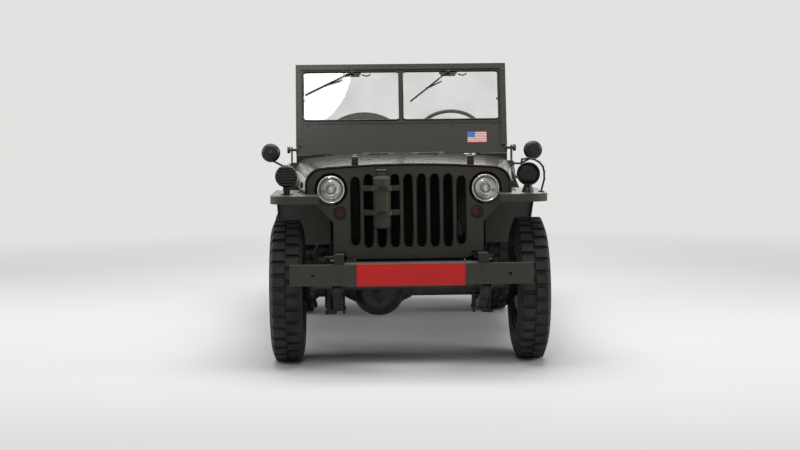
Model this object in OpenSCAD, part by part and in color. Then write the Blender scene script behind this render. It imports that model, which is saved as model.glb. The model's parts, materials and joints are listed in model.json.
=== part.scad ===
// Open army utility car with four-wheel drive, left-hand drive.
// Millimetres. X points to the car's left side, Y to its tail, Z up.
// Inside the modules Y is measured from the front axle; on_ground() moves the
// finished pieces so that the origin lies on the ground under the middle of the car.

/* [Overall] */
// Distance between the front and rear axles
wheelbase = 2032; // [1960:1:2100]
// Distance between the wheel centres of an axle
track = 1245; // [1235:1:1260]
// Front axle to the face of the front bumper
front_overhang = 525; // [510:1:560]
// Rear axle to the outside of the rear panel
rear_overhang = 568; // [540:1:620]
// Width over the body sides
body_w = 1450; // [1446:1:1500]

/* [Wheels] */
// Outside diameter of a tyre over the lugs
tyre_d = 730; // [716:1:740]
// Widest width of a tyre
tyre_w = 164; // [150:1:168]
// Width of the tread band
tread_w = 128; // [110:1:140]
// Bead diameter of the rim
rim_d = 406; // [396:1:412]
// Width of the rim between its flanges
rim_w = 114; // [100:1:120]
// Number of lugs in one row of the tread
lug_count = 34; // [24:1:38]
// Depth of the grooves between the lugs
lug_depth = 13; // [8:0.5:16]
// Bolt circle of the wheel nuts
nut_circle = 140; // [130:1:146]
// Number of wheel nuts
nut_count = 5; // [4:1:6]
// Radius of the brake drum
drum_r = 122; // [110:1:128]

/* [Chassis] */
// Distance between the centres of the two frame rails
rail_gap = 700; // [680:1:704]
// Width of a frame rail
rail_w = 48; // [40:1:50]
// Depth of a frame rail
rail_h = 92; // [80:1:100]
// Height of the top of the frame rails amidships
rail_z = 560; // [550:1:570]
// Thickness of the rail's steel
rail_t = 5; // [4:0.5:8]
// Length of the front bumper
bumper_w = 1184; // [1100:1:1220]
// Height of the front bumper
bumper_h = 102; // [90:1:110]
// Height of the bumper's lower edge
bumper_z = 442; // [430:1:455]
// Distance between the centres of the leaf springs
spring_gap = 730; // [724:1:736]
// Width of a leaf
leaf_w = 44; // [36:1:46]
// Thickness of a leaf
leaf_t = 8; // [6:0.5:10]
// Number of leaves in a spring
leaf_count = 6; // [4:1:7]
// Distance between the eyes of a spring
spring_l = 914; // [880:1:930]
// Rise of the spring from its middle to its eyes
spring_camber = 96; // [86:1:110]
// Radius of the axle tubes
axle_r = 36; // [30:1:38]
// Radius of the differential housing
diff_r = 136; // [125:1:140]
// Sideways offset of the differentials towards the right side
diff_offset = 155; // [145:1:165]
// Distance between the king pins
kingpin_gap = 1000; // [994:1:1006]
// Length of the steering arms
arm_l = 165; // [160:1:172]

/* [Front end] */
// Width of the grille at the headlamps
grille_w = 1028; // [1010:1:1036]
// Width of the grille below the lamps
grille_low_w = 766; // [750:1:790]
// Height of the grille's lower edge
grille_z = 533; // [525:1:545]
// Height of the middle of the grille's upper edge
grille_top_z = 1008; // [1000:1:1016]
// Front axle to the front of the grille
grille_y = 120; // [110:1:130]
// Thickness of the grille's pressing
grille_t = 5; // [4:0.5:8]
// Number of grille slots
slot_count = 9; // [7:2:9]
// Distance between the slot centres
slot_pitch = 67.5; // [64:0.5:70]
// Width of a slot
slot_w = 48; // [40:1:50]
// From the grille's side at the headlamps to a headlamp's centre
headlamp_edge = 121; // [116:1:126]
// Distance between the headlamp centres
headlamp_gap = grille_w - 2 * headlamp_edge;
// Height of the headlamp centres
headlamp_z = 891; // [885:1:897]
// Radius of a headlamp's rim ring
headlamp_r = 72; // [66:1:76]
// From the grille's side at its foot to a marker lamp's centre
marker_edge = 33; // [31:1:38]
// Distance between the marker lamp centres
marker_gap = grille_low_w - 2 * marker_edge;
// Height of the marker lamp centres
marker_z = 769; // [764:1:774]
// Radius of a marker lamp
marker_r = 33; // [28:1:36]
// From the grille's side to the driving lamp's centre
wing_lamp_side = 93; // [90:1:98]
// From the grille's side to the siren's centre
siren_side = 103; // [100:1:108]
// Width over the front wings
wing_w = 1392; // [1380:1:1410]
// Height of the flat top of the front wings
wing_z = 868; // [862:1:874]
// Depth of the turned-down edge of the wings
wing_lip = 40; // [30:1:46]
// Thickness of the wing sheet
wing_t = 5; // [4:0.5:7]
// Thickness of the hood sheet
hood_t = 6; // [5:0.5:8]

/* [Windshield] */
// Width of the windshield frame
shield_w = 1226; // [1200:1:1232]
// Height of the windshield frame above its pivot
shield_h = 502; // [490:1:510]
// Width of the frame's side and top bars
shield_bar = 32; // [28:1:36]
// Thickness of the windshield frame
shield_t = 28; // [24:1:32]
// Height of the plain panel under the glass
shield_panel_h = 150; // [140:1:160]
// Lean of the windshield
shield_lean = 12; // [10:0.5:14]

/* [Cabin] */
// Height of the top edge of the rear body sides
side_z = 945; // [930:1:960]
// Height of the sill's lower edge
sill_z = 495; // [485:1:505]
// Height of the step-in cut-outs
step_z = 690; // [680:1:700]
// Thickness of the body walls with their inner flange
wall_t = 20; // [16:1:22]
// Height of the floor
floor_z = 600; // [594:1:606]
// Thickness of the floor
floor_t = 8; // [6:1:10]
// Height of the cowl
cowl_z = 1047; // [1044:1:1050]
// Sideways place of the steering column
column_x = 303; // [300:1:305]
// Angle of the steering column above the horizon
column_deg = 35; // [33:1:37]
// Diameter of the steering wheel
steer_wheel_d = 438; // [420:1:446]
// Diameter of the steering wheel's rim
steer_rim_d = 22; // [18:1:26]
// Height of the front seat cushions
seat_z = 850; // [840:1:860]

/* [Fits] */
// Gap around turning pins and shafts
pin_gap = 0.3; // [0.1:0.05:0.5]
// Gap between pieces that are seated on each other
seat_gap = 0.3; // [0.1:0.05:0.5]
// Gap between moving panels
panel_gap = 6; // [5:0.5:8]

/* [Hidden] */
$fn = 48;

// Places that follow from the sizes above
half_track = track / 2;
tyre_r = tyre_d / 2;
rim_r = rim_d / 2;
rim_half = rim_w / 2;
body_half = body_w / 2;
body_rear_y = wheelbase + rear_overhang;
carrier_l = 42;
disc_in = 5;
tunnel_z = 716;
seat_x = 290;
seat_half = 165;
seat_tube_r = 12;
seat_bar_z = seat_z - 92;
bench_bar_z = seat_z - 112;
bumper_d = 40;
bend_extra = 1;
spare_x = -215;
spare_z = 921;
spare_y = body_rear_y + carrier_l + tyre_w / 2;
tail_y = spare_y + tyre_w / 2;
mid_y = (tail_y - front_overhang) / 2;
rail_x = rail_gap / 2;
rail_in = rail_x - rail_w / 2;
rail_out = rail_x + rail_w / 2;
rail_low = rail_z - rail_h;
mid_member_z = rail_low + 22;
rail_rear_y = body_rear_y - 32;
horn_rise = 32;
spring_x = spring_gap / 2;
kingpin_x = kingpin_gap / 2;
perch_h = 10;
spring_top = tyre_r - axle_r - perch_h;
spring_half = spring_l / 2;
spring_r = (spring_half * spring_half + spring_camber * spring_camber) / (2 * spring_camber);
eye_r = 17;
clamp_z = spring_top - leaf_count * leaf_t - 12;
shock_x = 414;
eye_bolt_r = 8;
eye_z = spring_top + spring_camber + 6;
spindle_r = 24;
spindle_end = 36;
drum_in = 50;
plate_x = half_track - drum_in - panel_gap - 6;
ball_r = 51;
kingpin_r = 15;
tie_pin_r = 9;
shell_low = floor_z - floor_t;
wall_in = body_half - wall_t;
crown_r = 5300;
hood_front_y = -grille_y - 12;
hood_low = wing_z + 7;
hood_front_w = grille_w + 2 * (panel_gap + hood_t);
hood_front_z = grille_top_z + panel_gap + hood_t;
hood_rear_w = 1224;
hinge_y = 742;
hinge_z = cowl_z - 2;
hinge_pin_r = 5;
hinge_lugs = [-230, -75, 50, 205];
cowl_y = hinge_y + 16;
cowl_rear_y = 984;
cowl_t = 8;
cowl_low = 960;
shield_y = 1000;
shield_z = cowl_z + shield_t / 2 + panel_gap + 2;
shield_half = shield_w / 2;
glass_t = 5;
sash = 13;
step_front_y = 1040;
step_rear_y = 1570;
house_in = 480;
house_z = 820;
house_t = 6;
column_r = 20;
column_top = [column_x, 1420, 1114];
shaft_r = 10;
wing_front_y = -335;
wing_in = 400;
apron_y = -20;
wing_half = wing_w / 2;

// Moves the finished pieces over the ground
module on_ground() translate([0, -mid_y, 0]) children();

// Repeats a piece on the other side of the car
module both_sides() {
    children();
    mirror([1, 0, 0]) children();
}

// Outline in Y and Z, drawn out along X
module along_x(x0, x1) translate([x0, 0, 0]) rotate([90, 0, 90]) linear_extrude(x1 - x0) children();

// Outline in X and Z, drawn out along Y
module along_y(y0, y1) translate([0, y1, 0]) rotate([90, 0, 0]) linear_extrude(y1 - y0) children();

// Outline in X and Y, drawn out along Z
module along_z(z0, z1) translate([0, 0, z0]) linear_extrude(z1 - z0) children();

// Box between two corners
module block(a, b) translate(a) cube(b - a);

// Round rod along X, Y or Z from a point
module rod_x(p, l, r) translate(p) rotate([0, 90, 0]) cylinder(h = l, r = r);
module rod_y(p, l, r) translate(p) rotate([-90, 0, 0]) cylinder(h = l, r = r);
module rod_z(p, l, r) translate(p) cylinder(h = l, r = r);

// Round rod between two points
module rod(p, q, r) {
    v = q - p;
    l = norm(v);
    translate(p) rotate([0, acos(v[2] / l), atan2(v[1], v[0])]) cylinder(h = l, r = r);
}

// Bent round tube through a list of points
module tube_path(pts, r) {
    for (i = [0 : len(pts) - 2]) rod(pts[i], pts[i + 1], r);
    for (i = [1 : len(pts) - 2]) translate(pts[i]) sphere(r = r + bend_extra);
}

// Rectangle with round corners
module round_rect(x0, y0, x1, y1, r) {
    translate([x0 + r, y0]) square([x1 - x0 - 2 * r, y1 - y0]);
    translate([x0, y0 + r]) square([x1 - x0, y1 - y0 - 2 * r]);
    for (x = [x0 + r, x1 - r], y = [y0 + r, y1 - r]) translate([x, y]) circle(r = r);
}

// Arched outline of the hood and cowl, with round upper corners
module arch(w, top, r, low) {
    h = w / 2;
    drop = crown_r - sqrt(crown_r * crown_r - (h - r) * (h - r));
    intersection() {
        translate([0, top - crown_r]) circle(r = crown_r, $fn = 720);
        translate([-h, low]) square([w, top - low]);
        union() {
            translate([-h + r, low]) square([w - 2 * r, top - low]);
            translate([-h, low]) square([w, top - drop - r - low]);
            for (x = [-h + r, h - r]) translate([x, top - drop - r]) circle(r = r);
        }
    }
}

// Side outline of a frame rail, drawn in by a margin
module rail_outline(m) polygon([
    [-front_overhang + 6 + m, rail_low + horn_rise + m], [-430, rail_low + horn_rise + m],
    [-190, rail_low + m], [rail_rear_y - m, rail_low + m], [rail_rear_y - m, rail_z - m],
    [-190, rail_z - m], [-430, rail_z + horn_rise - m],
    [-front_overhang + 6 + m, rail_z + horn_rise - m]]);

// Hanger plates that hold a spring eye under a rail
module hanger(y, top) difference() {
    block([spring_x - leaf_w / 2 - 7, y - 24, eye_z - 22], [spring_x + leaf_w / 2 + 7, y + 24, top]);
    block([spring_x - leaf_w / 2 - 1, y - 25, eye_z - 23],
        [spring_x + leaf_w / 2 + 1, y + 25, eye_z + eye_r + 8]);
    rod_x([spring_x - leaf_w, y, eye_z], 2 * leaf_w, eye_bolt_r);
}

// Two channel rails joined by cross members, with the spring hangers
module frame_rails() color("dimgray") {
    both_sides() {
        difference() {
            along_x(rail_in, rail_out) rail_outline(0);
            along_x(rail_in - 1, rail_out - rail_t) rail_outline(rail_t);
        }
        hanger(-spring_half, rail_low + horn_rise + rail_t);
        for (y = [spring_half, wheelbase - spring_half, wheelbase + spring_half])
            hanger(y, rail_low + rail_t);
    }
    web_x = rail_out - rail_t - seat_gap;
    seat_low = rail_low + rail_t + seat_gap;
    rod_x([-web_x, -425, rail_low + horn_rise + 26], 2 * web_x, 20);
    // Cross members seated in the rails: place, half length, lower edge, height
    for (c = [[-150, 26, seat_low, 50], [1230, 30, mid_member_z, 40], [1560, 26, mid_member_z, 46],
        [rail_rear_y - 30, 30, seat_low, rail_h - 2 * rail_t - 2 * seat_gap]])
        block([-web_x, c[0] - c[1], c[2]], [web_x, c[0] + c[1], c[2] + c[3]]);
}

// Channel bumper with two bolt holes
module front_bumper() color("olive") difference() {
    block([-bumper_w / 2, -front_overhang, bumper_z],
        [bumper_w / 2, -front_overhang + bumper_d, bumper_z + bumper_h]);
    block([-bumper_w / 2 - 1, -front_overhang + 6, bumper_z + 6],
        [bumper_w / 2 + 1, -front_overhang + 60, bumper_z + bumper_h - 6]);
    both_sides() block([rail_in - 0.5, -front_overhang + 6, bumper_z + 6],
        [rail_out + 0.5, -front_overhang + 60, bumper_z + bumper_h + 1]);
    for (x = [-bumper_hole, bumper_hole])
        rod_y([x, -front_overhang - 1, bumper_z + bumper_h / 2], 10, bumper_hole_r);
}
bumper_hole = 480;
bumper_hole_r = 7;

// Short curved bumpers beside the tow hook
module rear_bumperettes() color("olive") both_sides() {
    difference() {
        along_z(bumper_z + 20, bumper_z + 20 + bumper_h) round_rect(330, body_rear_y + 20, 610,
            body_rear_y + 80, 28);
        along_z(bumper_z + 10, bumper_z + 30 + bumper_h) round_rect(336, body_rear_y - 20, 604,
            body_rear_y + 74, 22);
    }
    block([rail_in, rail_rear_y, rail_low + 16], [rail_out, body_rear_y + 76, rail_low + 70]);
}

// Section of the cover over the gearbox, drawn in by a margin
module tunnel_outline(m) polygon([[-150 + m, shell_low - 1], [-115 + m, tunnel_z - m],
    [115 - m, tunnel_z - m], [150 - m, shell_low - 1]]);

// Floor with gearbox cover and cross channels
module body_floor() color("olive") difference() {
    union() {
        block([-wall_in, cowl_y + cowl_t, shell_low], [wall_in, body_rear_y - wall_t, floor_z]);
        for (y = [900, 1300, 1560, 2520]) block([-house_in, y - 30, rail_z], [house_in, y + 30, shell_low]);
        along_y(cowl_y + cowl_t, 1270) tunnel_outline(0);
    }
    along_y(cowl_y, 1264) tunnel_outline(6);
    block([-144, cowl_y, rail_z - 1], [144, 1264, shell_low + 1]);
    both_sides() block([house_in, wheelbase - 430, rail_z], [body_half, wheelbase + 430, floor_z + 1]);
}

// Side outline of the arch over a rear wheel, drawn in by a margin
module arch_outline(m) polygon([[wheelbase - 430 + m, sill_z - 60], [wheelbase - 430 + m, shell_low],
    [wheelbase - 330 + m, house_z - m], [wheelbase + 330 - m, house_z - m],
    [wheelbase + 430 - m, shell_low], [wheelbase + 430 - m, sill_z - 60]]);

// Body side with its step-in cut-out and wheel opening
module body_side() color("olive") {
    along_x(wall_in, body_half) difference() {
        translate([step_front_y, sill_z]) square([body_rear_y - wall_t - step_front_y, side_z - sill_z]);
        round_rect(step_front_y - 200, step_z, step_rear_y + 40, side_z + 200, 110);
        translate([step_rear_y + 40, side_z - 120]) difference() {
            translate([-1, 0]) square([121, 121]);
            translate([120, 0]) circle(r = 120);
        }
        arch_outline(42);
    }
    difference() {
        along_y(cowl_y, step_front_y) polygon([[body_half, sill_z], [body_half, step_z],
            [hood_rear_w / 2, cowl_low], [hood_rear_w / 2 - wall_t, cowl_low],
            [wall_in, step_z - 8], [wall_in, sill_z]]);
        block([0, cowl_rear_y, step_z], [body_half + 1, step_front_y + 1, step_z + 400]);
    }
}
module body_side_left() body_side();
module body_side_right() mirror([1, 0, 0]) body_side();

// Rear wall of the body
module body_rear_panel() color("olive") along_y(body_rear_y - wall_t, body_rear_y) difference() {
    round_rect(-body_half, sill_z, body_half, side_z, 18);
    translate([-430, sill_z - 10]) square([860, rail_z + 8 - sill_z + 10]);
}

// Boxes over the rear wheels
module wheel_houses() color("olive") both_sides() {
    intersection() {
        along_x(house_in, wall_in) difference() {
            arch_outline(0);
            arch_outline(house_t);
        }
        block([0, 0, shell_low], [body_half, body_rear_y, house_z + 1]);
    }
    intersection() {
        along_x(house_in, house_in + house_t) arch_outline(0);
        block([0, 0, shell_low], [body_half, body_rear_y, house_z + 1]);
    }
}

// Fire wall, top and dash panel, with the hood hinge pin and windshield brackets
module cowl() color("olive") difference() {
    union() {
        difference() {
            along_y(cowl_y, cowl_rear_y) arch(hood_rear_w, cowl_z, 75, cowl_low);
            along_y(cowl_y + cowl_t, cowl_rear_y - cowl_t)
                arch(hood_rear_w - 2 * cowl_t, cowl_z - cowl_t, 75 - cowl_t, cowl_low - 1);
        }
        along_y(cowl_y + 2, cowl_y + cowl_t) fire_wall();
        along_y(cowl_rear_y - cowl_t, cowl_rear_y) translate([-hood_rear_w / 2 + 32, 838])
            square([hood_rear_w - 64, 124]);
        toe_board();
        for (x = hinge_lugs) block([x, hinge_y - 2, hinge_z - 8], [x + 25, cowl_y + 4, hinge_z + 6]);
        for (x = hinge_lugs) rod_x([x, hinge_y, hinge_z], 25, 9);
        both_sides() block([hood_rear_w / 2 - 12, cowl_rear_y - 40, cowl_low],
            [bracket_x, shield_y + 22, cowl_low + 36]);
        both_sides() along_x(bracket_x - 8, bracket_x) polygon([[shield_y - 30, cowl_low], [shield_y + 22, cowl_low],
            [shield_y + 22, shield_z + 16], [shield_y - 22, shield_z + 16], [shield_y - 30, cowl_low + 40]]);
        rod_x([hinge_lugs[0] + 1, hinge_y, hinge_z], -2 * hinge_lugs[0] - 2, hinge_pin_r);
    }
    rod_x([-700, shield_y, shield_z], 1400, pivot_r + pin_gap);
    along_y(cowl_y - 1, 1000) tunnel_outline(0);
    rod(column_point(-1050), column_top, column_r + 4);
}
pivot_r = 8;
bracket_x = 642;

// Sloping board under the pedals
module toe_board() along_x(-540, 540) polygon([[cowl_y + cowl_t - 1, 750], [cowl_y + 4, 750],
    [cowl_y + 4, floor_z], [930, floor_z], [942, floor_z]]);

// Outline of the fire wall
module fire_wall() {
    polygon([[-hood_rear_w / 2 + wall_t + seat_gap, cowl_low], [-wall_in + seat_gap, step_z - 8],
        [-wall_in + seat_gap, shell_low], [wall_in - seat_gap, shell_low],
        [wall_in - seat_gap, step_z - 8], [hood_rear_w / 2 - wall_t - seat_gap, cowl_low]]);
    translate([-hood_rear_w / 2 + 40, cowl_low - 1]) square([hood_rear_w - 80, 20]);
}

// Arched hood that opens to the rear, with its hinge sleeves and rest blocks
module hood() color("olive") difference() {
    union() {
        difference() {
            hood_body(0);
            hood_body(hood_t);
        }
        for (x = [-200, 80]) rod_x([x, hinge_y, hinge_z], 120, 9);
        for (x = [-200, 80]) block([x, hinge_y - 40, hinge_z - 6], [x + 120, hinge_y, hinge_z + 3]);
        for (x = [-285, 305]) block([x, hood_front_y + 20, hood_front_z - 11.5],
            [x + 30, hood_front_y + 80, hood_front_z + 27]);
    }
    rod_x([-240, hinge_y, hinge_z], 480, hinge_pin_r + pin_gap);
    for (x = hinge_lugs) block([x - 5, hinge_y - 18, hinge_z - 30], [x + 30, hinge_y + 20, hinge_z + 40]);
}

// Outer or inner shape of the hood
module hood_body(m) hull() {
    translate([0, -(m > 0 ? 1 : 0), 0]) along_y(hood_front_y, hood_front_y + 1)
        arch(hood_front_w - 2 * m, hood_front_z - m, 90 - m, hood_low - (m > 0 ? 1 : 0), $fn = 64);
    translate([0, (m > 0 ? 1 : 0), 0]) along_y(hinge_y + 7, hinge_y + 8)
        arch(hood_rear_w - 2 * m, cowl_z + 4 - m, 90 - m, hood_low - (m > 0 ? 1 : 0), $fn = 64);
}

// Outline of the grille, drawn in by a margin
module grille_outline(m) {
    h = grille_w / 2 - m;
    l = grille_low_w / 2 - m;
    arch(grille_w - 2 * m, grille_top_z - m, 84 - m, 858);
    polygon([[-h, 860], [-h, 858], [-l, 718], [-l, 570 + m], [-293 + m, grille_z + m],
        [293 - m, grille_z + m], [l, 570 + m], [l, 718], [h, 858], [h, 860]]);
}

// Pressed grille with slots, lamp holes and a turned-back edge
module grille() color("olive") difference() {
    along_y(-grille_y, -grille_y + 44) grille_outline(0);
    along_y(-grille_y + grille_t, -grille_y + 45) grille_outline(grille_t);
    for (i = [0 : slot_count - 1]) {
        x = (i - (slot_count - 1) / 2) * slot_pitch;
        e = (i == 0 || i == slot_count - 1) ? 12 : 0;
        along_y(-grille_y - 1, -grille_y + 12)
            round_rect(x - slot_w / 2, 587 + e, x + slot_w / 2, 970 - e, slot_w / 2 - 0.5);
    }
    both_sides() {
        rod_y([headlamp_gap / 2, -grille_y - 1, headlamp_z], 12, headlamp_r + 12);
        rod_y([marker_gap / 2, -grille_y - 1, marker_z], 12, marker_r + 3);
        block([rail_in - 5, -grille_y - 1, grille_z - 10], [rail_out + 5, 0, rail_z + 8]);
    }
}

// Plan of a front wing, drawn in by a margin
module wing_plan(m) {
    r = 110 - m;
    x1 = wing_half - m;
    y0 = wing_front_y + m;
    translate([450, y0]) square([x1 - r - 450, -grille_y - 24 - y0]);
    translate([450, y0 + r]) square([x1 - 450, -grille_y - 24 - y0 - r]);
    translate([x1 - r, y0 + r]) circle(r = r);
    translate([480, -grille_y - 25]) square([x1 - 480, 25]);
    translate([grille_w / 2, -grille_y - 1]) square([x1 - grille_w / 2, 102]);
    translate([wing_in, apron_y]) square([x1 - wing_in, 724 - apron_y]);
}

// Side band of a front wing, from its top down by a depth
module wing_band(d) polygon([[wing_front_y - 1, wing_z], [330, wing_z], [724, 545], [724, 545 - d],
    [330, wing_z - d], [wing_front_y - 1, wing_z - d]]);

// Front wings with turned-down edges and inner aprons
module front_wings() color("olive") both_sides() {
    intersection() {
        along_x(wing_in, wing_half) wing_band(wing_t);
        along_z(0, 1000) wing_plan(0);
    }
    intersection() {
        along_x(wing_in, wing_half) wing_band(wing_lip);
        along_z(0, 1000) difference() {
            wing_plan(0);
            wing_plan(wing_t);
            translate([wing_in - 1, -400]) square([50, 300]);
            translate([wing_in - 1, -grille_y - 4]) square([wing_half - wing_in - wing_t, 900]);
        }
    }
    along_x(wing_in, wing_in + wing_t) polygon([[apron_y, wing_z], [330, wing_z],
        [706, rail_z], [apron_y, rail_z]]);
    block([rail_in, 300, rail_z], [wing_in + wing_t, 360, rail_z + 5]);
}

// Headlamp bowls with rim rings and brackets
module headlamps() color("silver") both_sides() translate([headlamp_gap / 2, -grille_y, headlamp_z]) {
    difference() {
        rotate([-90, 0, 0]) rotate_extrude() polygon([[0, 84], [30, 80], [56, 60], [66, 30],
            [headlamp_r - 4, 6], [headlamp_r, 4], [headlamp_r, -12], [headlamp_r - 6, -16], [0, -16]]);
        rod_y([0, -20, 0], 14, headlamp_r - 7);
    }
    block([-10, grille_t, -headlamp_r - 14], [20, 50, -58]);
}

// Domed headlamp glasses
module headlamp_lenses() color("lightblue") both_sides()
    translate([headlamp_gap / 2, -grille_y, headlamp_z]) rotate([-90, 0, 0]) rotate_extrude()
        intersection() {
            translate([0, -24]) square([headlamp_r - 7 - seat_gap, 18]);
            translate([0, 186]) circle(r = 208, $fn = 96);
        }

// Small lamps below the headlamps
module marker_lamps() color("darkred") both_sides() translate([marker_gap / 2, -grille_y, marker_z]) {
    rod_y([0, -2, 0], 42, marker_r - 7);
    rod_y([0, grille_t, 0], 6, marker_r + 9);
}

// Hooded driving lamp on the left wing with its guard bar
module blackout_lamp() color("olive") translate([grille_w / 2 + wing_lamp_side, -165, 961]) {
    rotate([-90, 0, 0]) rotate_extrude() polygon([[0, 66], [26, 60], [46, 40], [59, 0], [59, -14],
        [52, -14], [52, -4], [0, -4]]);
    translate([0, 20, wing_z - 961]) cylinder(h = 961 - wing_z - 40, r1 = 32, r2 = 13);
    tube_path(concat([[68, 20, wing_z - 958], [84, 20, -30]],
        [for (a = [0 : 22 : 110]) [84 * cos(a), 20, 8 + 70 * sin(a)]], [[-36, 20, 38]]), 5);
    rod_z([68, 20, wing_z - 961], 5, 16);
}

// Ribbed siren on the right wing
module siren() color("dimgray") translate([-grille_w / 2 - siren_side, -150, 962]) {
    rotate([-90, 0, 0]) rotate_extrude() polygon([[0, 70], [28, 66], [44, 50], [50, 30], [50, 4],
        [56, 0], [56, -24], [50, -30], [18, -38], [0, -38]]);
    for (z = [-42 : 14 : 42]) {
        w = sqrt(54 * 54 - z * z);
        block([-w, -42, z - 4], [w, -4, z + 4]);
    }
    block([-16, 0, wing_z - 962], [16, 36, -30]);
    block([-30, -6, wing_z - 962], [30, 44, wing_z - 962 + 5]);
}

// Round rear-view mirrors on stalks
module mirrors() color("dimgray") both_sides() {
    translate([756, 920, 1055]) rotate([-90, 0, 0]) rotate_extrude() polygon([[0, -14], [40, -10],
        [52, 0], [54, 6], [54, 12], [0, 12]]);
    tube_path([[bracket_x, 962, cowl_low + 18], [690, 962, cowl_low + 18], [756, 930, 1015],
        [756, 916, 1050]], 6);
    rod_x([bracket_x, 962, cowl_low + 18], 8, 14);
}

// Upright cylinder strapped to the grille
module decontaminator() color("olive") translate([-135, -grille_y, 0]) {
    translate([0, -52, 694]) rotate_extrude() polygon([[0, 0], [38, 0], [45, 6], [45, 250], [38, 262],
        [20, 264], [20, 278], [0, 278]]);
    for (z = [771, 895]) {
        block([-104, -5, z - 14], [104, 0, z + 14]);
        rod_z([0, -52, z - 14], 28, 48);
        block([-48, -52, z - 14], [48, -4, z + 14]);
    }
}

// Radiator core with tanks on its foot bar
module radiator() color("dimgray") {
    block([-255, -70, 600], [255, -15, 930]);
    along_y(-76, -8) round_rect(-262, 922, 262, 978, 20);
    along_y(-76, -8) round_rect(-262, 570, 262, 608, 12);
    block([-rail_out, -62, rail_z], [rail_out, -20, rail_z + 14]);
    rod_z([0, -42, 970], 22, 24);
    both_sides() block([255, -76, 600], [grille_low_w / 2 - grille_t, -62, 640]);
}

// Engine as one plain block with head, sump and mounts
module engine() color("dimgray") {
    block([-105, 110, 560], [105, 700, 760]);
    block([-90, 120, 760], [120, 680, 860]);
    block([-80, 140, 860], [80, 660, 900]);
    block([-95, 150, 450], [95, 640, 560]);
    rod_y([0, 60, 640], 50, 70);
    both_sides() block([95, 210, rail_z], [rail_out - 6, 260, rail_z + 18]);
}

// Gearbox and transfer case
module gearbox() color("dimgray") {
    rod_y([0, 700, 600], 60, 108);
    block([-85, 755, 520], [85, 1080, 690]);
    block([-230, 1000, 400], [70, 1150, 580]);
    block([-60, 1060, mid_member_z + 40], [60, 1260, 572]);
    rod_y([-diff_offset, 960, 440], 220, 46);
}

// Round housing of a differential with its pinion nose
module diff_housing(nose) translate([-diff_offset, 0, tyre_r]) {
    intersection() {
        sphere(r = diff_r);
        block([-diff_r, -106, -diff_r], [diff_r, 106, diff_r]);
    }
    for (a = [-90, 90]) rotate([0, a, 0]) cylinder(h = 170, r1 = diff_r - 12, r2 = axle_r + 4);
    rotate([-90, 0, 0]) rotate([nose > 0 ? 0 : 180, 0, 0]) cylinder(h = 210, r1 = 84, r2 = 44);
}

// Perch, clip bolts and bottom plate round a spring; the shock bracket lies to one side
module spring_clamp(s) both_sides() {
    block([spring_x - 32, -48, spring_top + 1.2], [spring_x + 32, 48, tyre_r - axle_r + 8]);
    for (x = [-29, 29], y = [-40, 40]) rod_z([spring_x + x, y, clamp_z - 16], leaf_count * leaf_t + 100, 6);
    block([spring_x - 40, -52, clamp_z], [spring_x + 38, 52, clamp_z + 12]);
    block([spring_x + 8, s > 0 ? 50 : -92, clamp_z - 10], [spring_x + 38, s > 0 ? 92 : -50, clamp_z + 12]);
    for (y = [-40, 40]) rod_x([spring_x - 29, y, tyre_r - axle_r + 24], 58, 6);
}

// Front axle with steering balls and king pins
module front_axle() color("dimgray") {
    rod_x([-kingpin_x, 0, tyre_r], 2 * kingpin_x, axle_r);
    diff_housing(1);
    spring_clamp(-1);
    both_sides() translate([kingpin_x, 0, tyre_r]) {
        sphere(r = ball_r);
        rod_z([0, 0, -84], 168, kingpin_r);
    }
}

// Rear axle with spindles and brake plates
module rear_axle() color("dimgray") translate([0, wheelbase, 0]) {
    rod_x([-plate_x, 0, tyre_r], 2 * plate_x, axle_r);
    diff_housing(-1);
    spring_clamp(1);
    both_sides() {
        rod_x([plate_x - 20, 0, tyre_r], half_track + spindle_end - plate_x + 20, spindle_r);
        rod_x([plate_x, 0, tyre_r], 6, drum_r - 4);
    }
}

// Universal joint yokes and tubes of the propeller shafts
module propeller_shafts() color("dimgray") {
    shaft_run([-diff_offset, 210, tyre_r], [-diff_offset, 960, 440]);
    shaft_run([-diff_offset, 1180, 440], [-diff_offset, wheelbase - 210, tyre_r]);
}
module shaft_run(a, b) {
    d = (b - a) / norm(b - a);
    rod(a + 40 * d, b - 40 * d, 26);
    translate(a) rod_y([0, 0, 0], 16, 42);
    translate(b) rod_y([0, -16, 0], 16, 42);
    rod(a + 6 * d, a + 70 * d, 30);
    rod(b - 70 * d, b - 6 * d, 30);
}

// Stepped leaf packs with eyes and bolts
module leaf_springs() color("dimgray") both_sides() for (y = [0, wheelbase]) translate([0, y, 0]) {
    along_x(spring_x - leaf_w / 2, spring_x + leaf_w / 2) {
        for (i = [0 : leaf_count - 1]) {
            l = spring_half - max(0, i - 1) * 66;
            intersection() {
                translate([0, spring_top + spring_r]) difference() {
                    circle(r = spring_r + (i + 1) * leaf_t, $fn = 360);
                    circle(r = spring_r + i * leaf_t, $fn = 360);
                }
                translate([-l, 0]) square([2 * l, tyre_r * 2]);
            }
        }
    }
    for (s = [-1, 1]) {
        rod_x([spring_x - leaf_w / 2, s * spring_half, eye_z], leaf_w, eye_r);
        rod_x([spring_x - leaf_w / 2 - 12, s * spring_half, eye_z], leaf_w + 24, eye_bolt_r - seat_gap);
    }
}

// Telescopic shock absorbers
module shock_absorbers() color("dimgray") both_sides() {
    shock([shock_x, -80, clamp_z - 2], [shock_x, -110, rail_z - 20]);
    shock([shock_x, wheelbase + 80, clamp_z - 2], [shock_x, wheelbase + 150, rail_z - 20]);
}
module shock(a, b) {
    d = (b - a) / norm(b - a);
    rod(a, b, 9);
    rod(a + 24 * d, a + 150 * d, 18);
    rod(a + 110 * d, b - 26 * d, 21);
    rod_x([spring_x + 38, a[1], a[2]], shock_x - spring_x - 20, 11);
    rod_x([rail_out, b[1], b[2]], shock_x - rail_out + 20, 13);
}

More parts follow.
